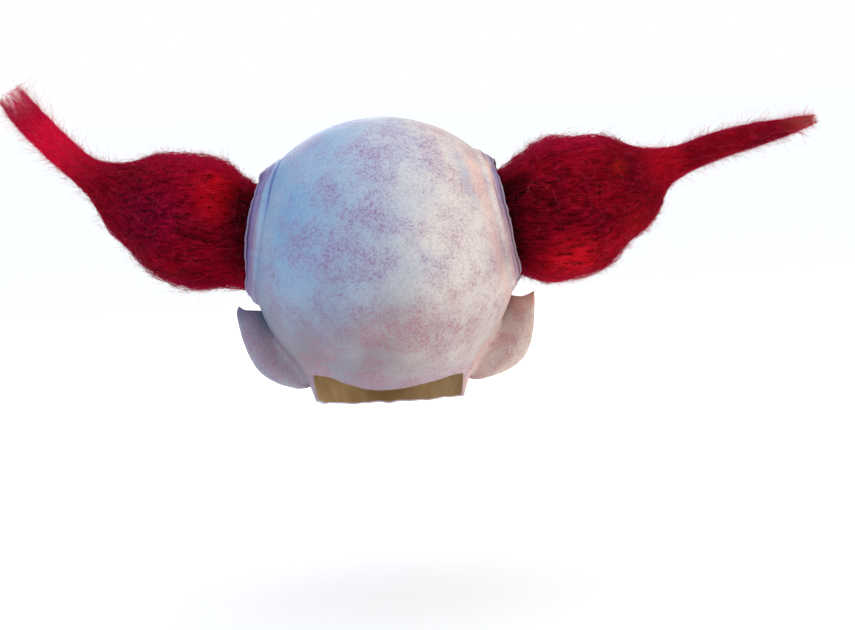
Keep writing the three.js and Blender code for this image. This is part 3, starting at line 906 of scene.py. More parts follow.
def skin_paint(finish):
    """Airbrushed pale latex, sky blue high on the left to cream on the right, and its brush marks. The
    cool left and the warm right are partly paint and partly painted shade and light of the side lamps, and
    painted shade darkens the lower back.
    """
    drift = finish.noise(finish.place, 0.07, 2.0) - 0.5
    right = finish.step(-finish.x + 0.10 * drift, -0.045, 0.06)
    low = 1 - finish.step(finish.z + 0.10 * drift, -0.19, -0.10)
    # The cool left and the warm cream right are partly the paint's own tint and partly painted shade and
    # light of the dim left and warm right side lamps.
    pale = finish.mix(right, COOL_WHITE, CREAM)
    high_left = finish.step(finish.x + 0.06 * drift, -0.02, 0.08)
    high_left = high_left * finish.step(finish.z, -0.21, -0.06)
    sky = high_left * finish.clouds((3, 1, 5), 0.045, 0.15, 0.60)
    colour = finish.mix(0.8 * sky, pale, SKY)
    patch = finish.noise(finish.moved((5, 8, 3)), 0.026, 4.0, 0.62)
    behind = finish.step(finish.y, -0.02, 0.03)
    for spot in PAINT_PATCHES:
        patch = patch + spot.gain * behind * finish.near(spot.x, spot.drop, spot.reach)
    dense = finish.step(patch, 0.36, 0.74)
    mood = finish.step(0.55 * right + 0.75 * low + drift, 0.30, 0.85)
    colour = finish.mix(0.55 * dense, colour, finish.mix(mood, LILAC, ROSE))
    bare = finish.step(finish.noise(finish.moved((1, 3, 6)), 0.0036, 2.0, 0.6), 0.52, 0.66)
    colour = finish.mix(0.25 * bare, colour, pale)
    # Painted shade: darker low on the back and towards the left, and at the listed spots.
    shade = 0.74 * low * (1 - 0.7 * right)
    for spot in PAINTED_SHADE_SPOTS:
        shade = shade + spot.share * finish.near(spot.x, spot.drop, spot.reach)
    colour = finish.mix(behind * shade, colour, PAINTED_SHADE)
    short = finish.either(finish.dashes(*BRUSH_MARKS["short"]), finish.scribble(*SCRIBBLE))
    long = finish.either(finish.dashes(*BRUSH_MARKS["long"]), finish.dashes(*BRUSH_MARKS["longest"]))
    marks = finish.either(short * (0.30 + 0.48 * dense), long * (0.18 + 0.68 * dense))
    return Ground(colour, marks, finish.mix(mood, VIOLET_MARK, ROSE_MARK))


def latex_bump(finish, marks):
    """Fine grain of cast latex, with the paint's marks a little sunk."""
    grain = finish.noise(finish.place, 0.0035, 4.0, 0.6)
    height = 0.7 * grain - 0.25 * marks
    finish.bump(height, 0.35, 0.0006)
    finish.shade("Roughness", 0.46 + 0.22 * grain)


def ear_paint(finish, colour):
    """Ears: dull blue edges on the left, cream edges and a tan tip on the right, mauve between. The cream
    of the right edges is partly paint and partly a painted highlight.
    """
    left = finish.on_left()
    ear = finish.attribute("ear")
    where = {
        "ground": 1.0,
        "middle": finish.clouds((8, 1, 6), 0.016, 0.36, 0.66),
        "edge": finish.attribute("ear_edge"),
        "tip": finish.attribute("ear_tip"),
    }
    for tint in EAR_TINTS:
        share = tint.right_share + (tint.left_share - tint.right_share) * left
        there = ear * where[tint.name] * share
        colour = finish.mix(there, colour, finish.mix(left, tint.right, tint.left))
    return colour


def collar_bands(finish, colour):
    """Paint beside the collars: a cobalt crease on the left, a peach band and a painted blue-grey crease
    shadow on the right, and painted shadow in the bores.
    """
    left, high = finish.on_left(), finish.at_collar_top()
    away = finish.attribute("collar_away")
    uneven = away + 12 * (finish.noise(finish.moved((6, 2, 4)), 0.016, 3.0) - 0.5)
    crease = (1 - finish.step(abs(away - 3.5), 0.6, 2.6)) * left * (0.15 + 0.85 * high)
    colour = finish.mix(0.8 * crease, colour, COBALT)
    beside = (1 - left) * (1 - finish.step(finish.z, -0.042, -0.018))
    band = finish.step(uneven, 0.0, 7.0) * (1 - finish.step(uneven, 9.0, 20.0)) * beside
    colour = finish.mix(band * (0.32 + 0.22 * high), colour, PEACH)
    # A painted blue-grey crease shadow, high beside the right collar.
    fold = (1 - finish.step(abs(uneven - 19), 1.0, 6.0)) * beside * high
    colour = finish.mix(0.45 * fold, colour, CREASE_SHADOW_GREY)
    # Painted shadow on the head inside each collar's bore.
    return finish.mix(0.95 * (1 - finish.step(away, -14.5, -11.5)), colour, BORE_SHADOW)


def painted_latex():
    """The casting's outside: sponged ground, ears, collars' surrounds and the painted face."""
    finish = Finish("painted_latex", Specular_IOR_Level=0.25)
    ground = skin_paint(finish)
    rim = finish.attribute("rim") * finish.clouds((2, 2, 7), 0.02, 0.25, 0.6)
    colour = finish.mix(0.5 * rim, ground.colour, RIM_MAUVE)
    crease = finish.attribute("ear_crease") * finish.step(-finish.x, 0.0, 0.03)
    colour = finish.mix(0.6 * crease, colour, PEACH)
    colour = ear_paint(finish, colour)
    colour = finish.mix(ground.marks, colour, ground.mark_colour)
    colour = collar_bands(finish, colour)
    colour = finish.mix(0.6 * finish.attribute("blush"), colour, BLUSH_RED)
    colour = finish.mix(0.6 * finish.attribute("eye_paint"), colour, EYE_VIOLET)
    colour = finish.mix(0.85 * finish.attribute("brow"), colour, BROW_BLACK)
    red = finish.attribute("red_paint")
    worn = finish.step(finish.noise(finish.place, 0.006, 4.0, 0.65), 0.25, 0.5)
    colour = finish.mix(red * 0.97, colour, finish.mix(worn, WORN_RED, LIP_RED))
    finish.shade("Base Color", colour)
    latex_bump(finish, ground.marks)
    finish.shade("Coat Weight", 0.5 * red)
    finish.shade("Coat Roughness", 0.22)
    return finish.material


def bare_latex():
    """Unpainted tan latex inside the casting, pooled here and there."""
    finish = Finish("bare_latex", Specular_IOR_Level=0.3)
    cloud = finish.clouds((1, 7, 3), 0.03, 0.3, 0.7)
    colour = finish.mix(cloud, BARE_LATEX, DARK_LATEX)
    pool = finish.clouds((4, 4, 9), 0.011, 0.55, 0.7)
    finish.shade("Base Color", finish.mix(0.4 * pool, colour, POOLED_LATEX))
    latex_bump(finish, pool)
    return finish.material


def collar_latex():
    """Wrinkled latex: lilac on the left, peach on the right, violet towards the pale lip, with painted
    shade in the wrinkles' hollows and painted shadow in the bore.
    """
    finish = Finish("collar_latex", Specular_IOR_Level=0.25)
    ground = skin_paint(finish)
    left, high = finish.on_left(), finish.at_collar_top()
    band = finish.attribute("lip_share")
    tint = finish.clouds((3, 3, 3), 0.014, 0.25, 0.6)
    flank = finish.step(band, 0.04, 0.25)
    warm = finish.mix(high, COLLAR_TINTS["low_rose"], PEACH)
    lilac = finish.mix(high, COLLAR_TINTS["low_lilac"], COLLAR_TINTS["high_lilac"])
    colour = finish.mix(left, warm, lilac)
    colour = finish.mix(flank * (0.45 + 0.40 * tint), ground.colour, colour)
    pale = finish.step(band, 0.20, 0.36) * (1 - left)
    colour = finish.mix(0.4 * pale, colour, COLLAR_TINTS["pale"])
    violet = finish.step(band, 0.3, 0.65) * (0.55 + 0.45 * tint)
    right_lip = finish.mix(high, COLLAR_TINTS["low_lip"], COLLAR_TINTS["high_lip"])
    lip = finish.mix(left, right_lip, COLLAR_TINTS["left_lip"])
    colour = finish.mix(0.8 * violet, colour, lip)
    # Painted shade in the hollows of the wrinkles.
    folds = finish.step(finish.attribute("wrinkle"), 0.1, 0.9)
    colour = finish.mix(0.5 * folds, colour, COLLAR_TINTS["wrinkle"])
    line = finish.step(band, 0.78, 0.84) * (1 - finish.step(band, 0.88, 0.92))
    colour = finish.mix(0.6 * line * left, colour, COLLAR_TINTS["lip_line"])
    colour = finish.mix(0.5 * finish.step(band, 0.93, 0.99), colour, COLLAR_TINTS["lip_edge"])
    colour = finish.mix(0.7 * ground.marks, colour, ground.mark_colour)
    # Painted shadow on the bore's inner wall.
    colour = finish.mix(0.95 * finish.attribute("bore"), colour, BORE_SHADOW)
    finish.shade("Base Color", colour)
    latex_bump(finish, ground.marks)
    return finish.material


def hair_colour(finish):
    """Crimson with its tones from place to place, and roots lost in shadow."""
    patch = finish.clouds((2, 8, 5), 0.045, 0.36, 0.64)
    colour = finish.mix(patch, DEEP_CRIMSON, CRIMSON)
    for tone in HAIR_TONES:
        there = finish.near(tone.x, tone.drop, tone.reach)
        colour = finish.mix(tone.share * there, colour, tone.colour)
    streak = finish.noise(finish.moved((9, 4, 1), (0.28, 1, 1)), 0.0032, 3.0, 0.65)
    dark = (0.34 + 0.60 * finish.on_tuft_body()) * (1 - finish.step(streak, 0.39, 0.50))
    colour = finish.mix(dark, colour, STREAK_SHADE, "MULTIPLY")
    colour = finish.mix(0.52 * finish.step(streak, 0.52, 0.66), colour, LIT_CRIMSON)
    broken = finish.step(finish.noise(finish.moved((5, 5, 2), (0.3, 1, 1)), 0.004, 2.0), 0.34, 0.60)
    # Painted shade along the gaps between locks, broken up.
    for gap in HAIR_GAPS:
        there = finish.near_line(gap.start, gap.end, gap.reach) * broken
        colour = finish.mix(gap.share * there, colour, GAP_SHADE)
    uneven = 0.024 * (finish.noise(finish.moved((7, 1, 2), (0.3, 1, 1)), 0.012, 2.0) - 0.5)
    # Painted shadow on the roots beside the collars.
    root = 1 - finish.step(abs(finish.x - ROOT_SHADE["x"]) + uneven, *ROOT_SHADE["out"])
    level = 1 - finish.step(abs(finish.z - ROOT_SHADE["z"] + uneven), *ROOT_SHADE["tall"])
    return finish.mix(0.92 * root * level, colour, ROOT_SHADOW)


def tail_glow(finish):
    """Light that comes through the thin left tail."""
    there = finish.near(*TAIL_GLOW["place"], TAIL_GLOW["reach"])
    finish.shade("Emission Color", finish.mix(there, (0, 0, 0), TAIL_GLOW["colour"]))


def hair_fibre():
    """Strands, each with its lock's tone, with painted light that makes them paler towards the loose ends
    and on the tuft's upper and lower fringe.
    """
    finish = Finish("hair_fibre", Roughness=0.6, Specular_IOR_Level=0.02, Emission_Strength=1.0)
    tail_glow(finish)
    strand = finish.attribute("strand")
    colour = hair_colour(finish)
    tone = finish.attribute("lock_tone")
    # Painted shade in the gaps between locks, where the lock's tone is low.
    gap = finish.on_tuft_body() * (1 - finish.step(tone, 0.36, 0.52))
    colour = finish.mix(0.5 * gap, colour, LOCK_SHADE)
    colour = finish.mix(0.30 * finish.step(strand, 0.3, 0.9), colour, STRAND_RED)
    colour = finish.mix(0.40 * finish.step(tone, 0.54, 0.68), colour, LOCK_LIGHT)
    # Painted light on the tuft's upper and lower fringe.
    colour = finish.mix(0.5 * finish.attribute("backlit_fringe"), colour, BACKLIT_FRINGE)
    # Painted light pales the strands towards their loose ends.
    fade = finish.attribute("fade")
    wisp = finish.mix(fade, BACKLIT_FRINGE, LIT_FRINGE)
    finish.shade("Base Color", finish.mix(finish.step(fade, 0.0, 0.6), colour, wisp))
    return finish.material


def hair_core():
    """The dense hair under the strands, streaked, with painted shade that darkens it and painted light on
    its upper and lower sides.
    """
    finish = Finish("hair_core", Roughness=0.8, Specular_IOR_Level=0.03, Emission_Strength=1.0)
    tail_glow(finish)
    streak = finish.noise(finish.moved((0, 0, 0), (0.25, 1, 1)), 0.004, 3.0, 0.6)
    colour = hair_colour(finish)
    upward = finish.node("ShaderNodeSeparateXYZ", None, {0: finish.normal}, "Z")
    # Painted light on the core's upper and lower sides.
    colour = finish.mix(0.5 * finish.step(abs(upward), 0.7, 1.0), colour, BACKLIT_FRINGE)
    # Painted shade darkens the core, in streaks.
    finish.shade("Base Color", finish.mix(0.3 + 0.8 * streak, colour, CORE_SHADE, "MULTIPLY"))
    finish.bump(streak, 0.6, 0.002)
    return finish.material


# Casting

def column_azimuths():
    """Azimuths of the casting's columns, once round from the nape."""
    zones = [np.linspace(zone.start, zone.end, zone.steps, endpoint=False) for zone in AZIMUTH_ZONES]
    half = np.concatenate(zones)
    return np.concatenate([half, [180], 360 - half[:0:-1]])


def casting_grid():
    """Outside of the casting as rows from the crown down, and its normals, before fine detail."""
    azimuth = column_azimuths()
    crown_end = place_at_drop(CROWN_ROWS_END)
    crown = np.linspace(0, crown_end, CROWN_ROWS, endpoint=False)[:, None] + 0 * azimuth
    rim_end = place_at_drop(rim_drop(azimuth))
    share = np.linspace(0, 1, FACE_ROWS + 1)[:, None]
    place = np.concatenate([crown, crown_end + (rim_end - crown_end) * share])
    points = head_point(azimuth[None, :] + 0 * place, place)
    return points, grid_normals(points)


def cast_wall(points, normals):
    """The wall: painted outside from crown to edge, a rolled edge, then the bare inside."""
    outside = points + normals * fine_lift(points)[..., None]
    inside = points - WALL * normals
    inside = np.concatenate([inside[:-1:INSIDE_ROW_STEP], inside[-1:]])
    edge = 0.5 * (outside[-1:] + inside[-1:]) - (0, 0, RIM_ROLL)
    rings = np.concatenate([outside[1:], edge, inside[:0:-1]])
    return capped_rings("mask_shell_cast", outside[0, 0], rings, inside[0, 0])


def head_fill(points, normals):
    """The head filled up to the middle of its wall, which trims what is moulded on."""
    shell = points - 0.5 * WALL * normals
    return capped_rings("head_fill", shell[0, 0], shell[1:], (0, 0, CROWN_Z - COLLAR["drop"]))


def ear_flap(side):
    """One ear: a cupped flap between its root and its edge, with a rolled rim and a hollow in front."""
    around, down = EAR_STEPS["around"], EAR_STEPS["down"]
    column = {k: v[:, None] for k, v in open_columns(EAR_SECTIONS, down).items()}
    v = np.linspace(0, 1, down)[:, None]
    u = np.linspace(0, 1, around, endpoint=False)[None, :]
    across = 1 - np.abs(2 * u - 1)
    front = (u < 0.5).astype(float)
    swell = np.sin(math.pi * across)
    from_end = np.minimum(1, np.minimum(v, 1 - v) / EAR_END_SHARE)
    ends = np.sqrt(np.clip(1 - (1 - from_end) ** 2, 0, 1))
    thick = 0.5 * column["thick"] * np.sqrt(np.maximum(swell, 0)) * ends
    sag = (EAR_TOP_SAG[side] * swell + EAR_TOP_SLOPE[side] * (1 - across)) * (1 - v) ** 4
    lobe = EAR_LOBE[side] * v * np.sin(math.pi * v)
    rounded = EAR_TIP_ROUND[side] * np.clip(1 - v / EAR_TIP_SHARE, 0, 1) ** 2 * across**5
    x = column["root_x"] + (column["edge_x"] - column["root_x"] + lobe) * across - rounded
    drop = column["root_drop"] + (column["edge_drop"] - column["root_drop"]) * across + sag
    y = column["root_y"] + (column["edge_y"] - column["root_y"]) * across + EAR_CUP * swell
    y = y + thick * (1 - 2 * front)
    back = 1 - front
    y -= front * EAR_RIM["lift"] * bell(across - EAR_RIM["across"], EAR_RIM["width"]) * ends
    bowl = bell(across - EAR_BOWL["across"], EAR_BOWL["width"])
    y += front * EAR_BOWL["depth"] * bowl * bell(v - EAR_BOWL["down"], EAR_BOWL["tall"])
    y += back * EAR_BACK_RIM["lift"] * bell(across - EAR_BACK_RIM["across"], EAR_BACK_RIM["width"]) * ends
    web = smooth(v, *EAR_WEB["starts"]) * (1 - smooth(v, *EAR_WEB["ends"]))
    y += back * EAR_WEB["depth"] * np.exp(-((across / EAR_WEB["reach"]) ** 1.3)) * web
    points = np.stack([x, y, CROWN_Z - drop], axis=-1)
    uneven = ripple(points, EAR_RIPPLE["wavelength"], EAR_RIPPLE["seed"])
    points[..., 1] += EAR_RIPPLE["lift"] * uneven
    points[..., 0] *= side
    return flat_ended_rings("ear", points)


def nose_ball():
    """The moulded ball of the nose, a little uneven."""
    polar = np.linspace(0, math.pi, NOSE["rings"] + 1)[1:-1, None]
    turn = np.linspace(0, 2 * math.pi, NOSE["around"], endpoint=False)[None, :]
    across, up = np.sin(polar) * np.cos(turn), np.sin(polar) * np.sin(turn)
    ball = np.stack([across, -np.cos(polar) + 0 * turn, up], axis=-1)

    def moulded(unit):
        points = unit * NOSE["radius"] + NOSE_CENTRE
        uneven = ripple(points, NOSE_RIPPLE["wavelength"], NOSE_RIPPLE["seed"])
        return points + unit * (NOSE_RIPPLE["lift"] * uneven)[..., None]

    front, back = moulded(np.array([[0.0, -1.0, 0.0], [0.0, 1.0, 0.0]]))
    return capped_rings("nose", front, moulded(ball), back)


def almond_cutter(x, hole):
    """A cutter along Y with an almond outline, pointed at both ends."""
    t = np.linspace(-1, 1, CUT_STEPS)
    top = np.stack([t, 1 - t**2], axis=-1)
    bottom = np.stack([-t, t**2 - 1], axis=-1)[1:-1]
    across, up = np.concatenate([top, bottom]).T
    across = x + across * hole["half_wide"]
    up = CROWN_Z - hole["drop"] + up * hole["half_tall"]
    rings = [np.stack([across, y + 0 * across, up], axis=-1) for y in FACE_CUT_Y]
    return flat_ended_rings("cutter", np.stack(rings))


def near_ears(points, half_tall, half_deep):
    """Which points lie in a box round either ear."""
    x, y, z = points.T
    tall = np.abs(CROWN_Z - z - EAR_BOX["drop"]) < half_tall
    deep = np.abs(y - EAR_BOX["y"]) < half_deep
    return (np.abs(x) > EAR_BOX["side"]) & tall & deep


def soften_seams(piece):
    """Rounds the joints where ears and nose grow out of the head."""
    points = vertex_array(piece)
    off = height_over_head(points)
    from_nose = np.abs(np.linalg.norm(points - NOSE_CENTRE, axis=1) - NOSE["radius"])
    at_nose = (np.abs(off) < SEAM["nose"]) & (from_nose < SEAM["nose"]) & (points[:, 1] < 0)
    at_ear = near_ears(points, *EAR_BOX["seam"])
    flap = np.flatnonzero(at_ear & (off > SEAM["flap"]))
    tree = KDTree(len(flap))
    for index in flap:
        tree.insert(points[index], int(index))
    tree.balance()
    seam = set(np.flatnonzero(at_nose).tolist())
    for index in np.flatnonzero(at_ear & (np.abs(off) < SEAM["ear"])):
        if tree.find(points[index])[2] < SEAM["from_flap"]:
            seam.add(int(index))
    shape = bmesh.new()
    shape.from_mesh(piece.data)
    shape.verts.ensure_lookup_table()
    chosen = [shape.verts[i] for i in sorted(seam)]
    for _ in range(SEAM["rounds"]):
        bmesh.ops.smooth_vert(
            shape, verts=chosen, factor=0.5, use_axis_x=True, use_axis_y=True, use_axis_z=True)
    shape.to_mesh(piece.data)
    shape.free()


def face_masks(piece, points):
    """Where the face is painted: red nose and lips, blush, eye paint and brows."""
    x, y, z = points.T
    side, drop = np.abs(x), CROWN_Z - z
    front = smooth(-y, *FACE_PAINT_START)
    from_nose = np.linalg.norm(points - NOSE_CENTRE, axis=1) - NOSE["radius"]
    nose = 1 - smooth(from_nose, *NOSE_PAINT_EDGE)
    width = np.clip(1 - (x / LIPS["half_wide"]) ** 2, 0, 1) ** 0.6
    above = LIPS["above"] + LIPS["bow"] * bell(side - 7, 5) - LIPS["dip"] * bell(x, 3)
    upper = MOUTH["drop"] - above * width
    lower = MOUTH["drop"] + LIPS["below"] * width
    fade = LIPS["fade"]
    lips = smooth(drop, upper - fade, upper + fade) * (1 - smooth(drop, lower - fade, lower + fade))
    store(piece, "red_paint", np.maximum(nose, lips * front * (side < LIPS["half_wide"])))
    blush = bell(side - BLUSH["side"], BLUSH["half_wide"]) * bell(drop - BLUSH["drop"], BLUSH["half_tall"])
    store(piece, "blush", blush * front)
    store(piece, "eye_paint", beside_eye(x) * bell(lid_offset(x, drop), EYE_PAINT_WIDTH) * front)
    arch = BROW["drop"] - BROW["arch"] * (1 - ((side - BROW["side"]) / BROW["half_wide"]) ** 2)
    taper = 1 - ((side - BROW_TAPER["side"]) / BROW_TAPER["half_wide"]) ** 2
    thick = BROW["half_thick"] * np.clip(taper, 0, 1) ** 0.5
    brow = 1 - smooth(np.abs(drop - arch), thick - BROW["fade"], thick + BROW["fade"])
    store(piece, "brow", brow * (thick > BROW_TAPER["thinnest"]) * front)


def ear_masks(piece, points):
    """Where the ears are, with their edges, their tips and the creases behind them."""
    x, y, z = points.T
    side, drop = np.abs(x), CROWN_Z - z
    stands_out = smooth(height_over_head(points), *EAR_STANDS_OUT)
    store(piece, "ear", stands_out * near_ears(points, *EAR_BOX["paint"]))
    rows = open_columns(EAR_SECTIONS, EAR_STEPS["down"])
    root, edge = (np.interp(drop, rows["edge_drop"], rows[k]) for k in ("root_x", "edge_x"))
    store(piece, "ear_edge", smooth((side - root) / (edge - root), *EAR_EDGE))
    from_tip = np.hypot(side - EAR_TIP["x"], drop - EAR_TIP["drop"])
    store(piece, "ear_tip", 1 - smooth(from_tip, *EAR_TIP["fade"]))
    beside = np.abs(drop - EAR_CREASE["drop"]) < EAR_CREASE["half_tall"]
    behind = (side > EAR_BOX["side"]) & beside & (y > 0)
    crease = bell(y - EAR_CREASE["y"], EAR_CREASE["width"])
    store(piece, "ear_crease", crease * behind * (1 - stands_out))


def edge_masks(piece, points):
    """How near the lower edge is, and how far away the collars' edges are."""
    x, y, z = points.T
    drop = CROWN_Z - z
    azimuth = np.degrees(np.arctan2(x, y)) % 360
    store(piece, "rim", 1 - smooth(rim_drop(azimuth) - drop, 0, RIM_PAINT))
    set_back = np.where(x > 0, COLLAR_SET_BACK[1], COLLAR_SET_BACK[-1])
    ring = np.hypot(y - set_back, drop - COLLAR["drop"]) - COLLAR["edge"]
    away = np.where(np.abs(x) > EAR_BOX["side"], np.clip(ring, *COLLAR_AWAY), COLLAR_AWAY[1])
    store(piece, "collar_away", away)


def mark_inside(piece):
    """Gives the faces that look into the hollow the second material."""
    count = len(piece.data.polygons)
    centre, normal = np.zeros(count * 3), np.zeros(count * 3)
    piece.data.polygons.foreach_get("center", centre)
    piece.data.polygons.foreach_get("normal", normal)
    centre, normal = centre.reshape(-1, 3) / MM, normal.reshape(-1, 3)
    outward = centre - (0, 0, CROWN_Z - COLLAR["drop"])
    inside = (np.sum(outward * normal, axis=1) < 0) & (height_over_head(centre) < -0.5)
    piece.data.polygons.foreach_set("material_index", inside.astype(np.int32))


def make_casting(materials):
    """The whole casting: its wall, ears and nose in one, with eye holes and a mouth slit cut through."""
    points, normals = casting_grid()
    piece = cast_wall(points, normals)
    for moulded in (ear_flap(1), ear_flap(-1), nose_ball()):
        cut_or_join(moulded, head_fill(points, normals), "DIFFERENCE")
        cut_or_join(piece, moulded, "UNION")
    for side in (1, -1):
        cut_or_join(piece, almond_cutter(side * EYE["side"], EYE), "DIFFERENCE")
    cut_or_join(piece, almond_cutter(MOUTH["side"], MOUTH), "DIFFERENCE")
    soften_seams(piece)
    for masks in (face_masks, ear_masks, edge_masks):
        masks(piece, vertex_array(piece))
    piece.data.polygons.foreach_set("use_smooth", np.ones(len(piece.data.polygons), bool))
    piece.data.set_sharp_from_angle(angle=math.radians(55))
    piece.data.materials.clear()
    finish_piece(piece, ["mask_shell"], materials)
    mark_inside(piece)


# Collars

def on_side(y, drop):
    """Points on the head's left side, at depths and drops."""
    place = place_at_drop(drop)
    depth = np.where(y > 0, head_at("back", place), head_at("front", place))
    depth = np.maximum(depth, 1e-6)
    share = np.maximum(1 - np.abs(y / depth) ** ROUNDNESS, 1e-6)
    x = head_at("half_width", place) * share ** (1 / ROUNDNESS)
    return np.stack([x, y, CROWN_Z - drop], axis=-1)


def side_point(side, radius, angle, height):
    """Points standing off the head's side, at a radius and angle round the collar's centre."""
    y = radius * np.cos(angle) + COLLAR_SET_BACK[side]
    drop = COLLAR["drop"] - radius * np.sin(angle)
    across = on_side(y + 1, drop) - on_side(y - 1, drop)
    down = on_side(y, drop + 1) - on_side(y, drop - 1)
    outward = np.cross(down, across)
    outward /= np.linalg.norm(outward, axis=-1, keepdims=True)
    outward *= np.sign(outward[..., :1])
    return (on_side(y, drop) + outward * height[..., None]) * (side, 1, 1)


def collar_profile():
    """Radius and height round the collar's wall, and how near each step lies to the lip."""
    c = COLLAR
    corners = np.array([
        (c["bore"], c["sunk"], 0.0),
        (c["bore"], c["height"] * 0.45, 0.5),
        (c["bore"], c["height"] - 1.0, 1.0),
        ((c["bore"] + c["lip"]) / 2, c["height"], 1.0),
        (c["lip"], c["height"] - 1.0, 0.92),
        (c["lip"] + 1.6, c["height"] * 0.72, 0.7),
        (c["lip"] + 3.4, c["height"] * 0.52, 0.5),
        (c["edge"] - 3.5, 2.4, 0.2),
        (c["edge"] - 0.4, 0.9, 0.03),
        (c["edge"] + 0.8, c["sunk"], 0.0),
    ])
    length = np.concatenate([[0], np.cumsum(np.hypot(*np.diff(corners[:, :2], axis=0).T))])
    place = np.linspace(0, length[-1], COLLAR_STEPS["section"])
    return [np.interp(place, length, corners[:, k])[:, None] for k in range(3)]


def make_collar(name, side, material):
    """One collar of brushed-on latex: ragged lip, and wrinkles that run round the ring."""
    radius, height, lip_share = collar_profile()
    count = COLLAR_STEPS["around"]
    angle = np.linspace(0, 2 * math.pi, count, endpoint=False)[None, :]
    ring = np.stack([np.cos(angle), np.sin(angle)], axis=-1) * COLLAR["lip"]
    ragged = sum(row.lift * ripple(ring, row.wavelength, row.seed + side) for row in LIP_RIPPLES)
    wave = np.sin(COLLAR_WAVES["count"] * angle + side)
    raised = np.clip(height / COLLAR["height"], 0, 1)
    rows = len(radius)
    flank = (np.arange(rows)[:, None] > rows * BORE_SHARE).astype(float)
    walk = np.concatenate([
        np.broadcast_to(ring / WRINKLE["around"], (rows, count, 2)),
        np.broadcast_to(radius[..., None] / WRINKLE["across"], (rows, count, 1)),
    ], axis=-1)
    wrinkle = ripple(walk, WRINKLE["wavelength"], WRINKLE["seed"] + side)
    wrinkle = wrinkle * flank * smooth(height, *WRINKLE["from_height"])
    rise = COLLAR_WAVES["height"] * wave + 0.7 * ragged + COLLAR_RISE[side] * np.cos(angle) ** 2
    height = height + rise * raised + WRINKLE["lift"] * wrinkle
    radius = radius + (COLLAR_WAVES["radius"] * wave + 0.8 * ragged) * flank * (1 - 0.5 * raised)
    points = side_point(side, radius, angle + 0 * radius, height)
    faces = ring_faces(rows, count, closed_rows=True)
    piece = mesh_object(f"{name}_latex", points.reshape(-1, 3), faces)
    point_outwards(piece)
    spread = np.ones((1, count))
    store(piece, "lip_share", (lip_share * spread).ravel())
    store(piece, "wrinkle", np.clip(-wrinkle, 0, 1).ravel())
    # Where the painted shadow on the bore's inner wall goes.
    store(piece, "bore", ((1 - flank) * (1 - smooth(lip_share, 0.85, 1.0)) * spread).ravel())
    finish_piece(piece, [name], [material])


# Hair

def tuft_spine(side_name):
    """Centre line and radius of a tuft, in millimetres, in evenly spaced steps of its rows."""
    columns = open_columns(TUFT_ROWS[side_name], SPINE_POINTS)
    side = SIDES[side_name]
    centre = np.stack([side * columns["out"], columns["depth"], CROWN_Z - columns["drop"]], axis=-1)
    return centre, np.maximum(columns["radius"], 0.4)


def core_angles():
    """Angles of the points round a core's rings."""
    return np.linspace(0, 2 * math.pi, CORE_STEPS["around"], endpoint=False)


def core_rings(side_name):
    """Rings of a tuft's inner body along its spine, no nearer in than the head's side, and its end."""
    centre, radius = tuft_spine(side_name)
    length = np.concatenate([[0], np.cumsum(np.linalg.norm(np.diff(centre, axis=0), axis=1))])
    share = np.linspace(0, CORE_END[1], CORE_STEPS["along"])
    steps = share * length[-1]
    centre = np.stack([np.interp(steps, length, centre[:, k]) for k in range(3)], axis=-1)
    radius = np.interp(steps, length, radius)
    denser = CORE_SHARE["body"] - CORE_SHARE["tail"]
    dense = CORE_SHARE["tail"] + denser * smooth(radius, *CORE_SHARE["radii"])
    radius = np.maximum(radius * dense * (1 - smooth(share, *CORE_END)), CORE_SHARE["thinnest"])
    tangent = np.gradient(centre, axis=0)
    tangent /= np.linalg.norm(tangent, axis=1)[:, None]
    level = np.array([0.0, 1.0, 0.0])
    upward = np.cross(tangent, level)
    upward /= np.linalg.norm(upward, axis=1)[:, None]
    angle = core_angles()
    narrower = TUFT_FLATTEN["body"] - TUFT_FLATTEN["root"]
    flat = TUFT_FLATTEN["root"] + narrower * smooth(share, *TUFT_FLATTEN["ends"])
    wide, tall = np.cos(angle)[None, :, None] * flat[:, None, None], np.sin(angle)[None, :, None]
    around = wide * level + tall * upward[:, None]
    points = centre[:, None] + radius[:, None, None] * around
    uneven = ripple(points, CORE_RIPPLE["wavelength"], CORE_RIPPLE["seed"])
    points = points + around * (CORE_RIPPLE["share"] * radius[:, None] * uneven)[..., None]
    head_x = on_side(points[..., 1], CROWN_Z - points[..., 2])[..., 0] + ROOT_PLUG["heights"][0]
    points[..., 0] = SIDES[side_name] * np.maximum(np.abs(points[..., 0]), head_x)
    return points, centre[-1]


def make_core(side_name, material):
    """The dense inner body of a tuft, under its strands, with a plug in the collar's bore."""
    rings, end = core_rings(side_name)
    side = SIDES[side_name]
    angle = side * core_angles()
    round_bore = np.full(len(angle), ROOT_PLUG["radius"])
    plug = [side_point(side, round_bore, angle, 0 * angle + height) for height in ROOT_PLUG["heights"]]
    seat = side_point(side, np.zeros(1), np.zeros(1), np.full(1, ROOT_PLUG["heights"][0]))
    rings = np.concatenate([np.stack(plug), rings])
    piece = capped_rings(f"hair_tuft_{side_name}_core", seat[0], rings, end)
    finish_piece(piece, [f"hair_tuft_{side_name}"], [material])


def hair_sockets(tree):
    """Named inputs of the hair's tree: a layer's sizes, its seed and its material."""
    kinds = {"Geometry": "NodeSocketGeometry"}
    for name, sizes in HAIR_SIZES.items():
        kinds[name] = "NodeSocketInt" if isinstance(sizes[0], int) else "NodeSocketFloat"
    kinds |= {"Seed": "NodeSocketInt", "Material": "NodeSocketMaterial"}
    for name, kind in kinds.items():
        tree.interface.new_socket(name, in_out="INPUT", socket_type=kind)
    tree.interface.new_socket("Geometry", in_out="OUTPUT", socket_type="NodeSocketGeometry")


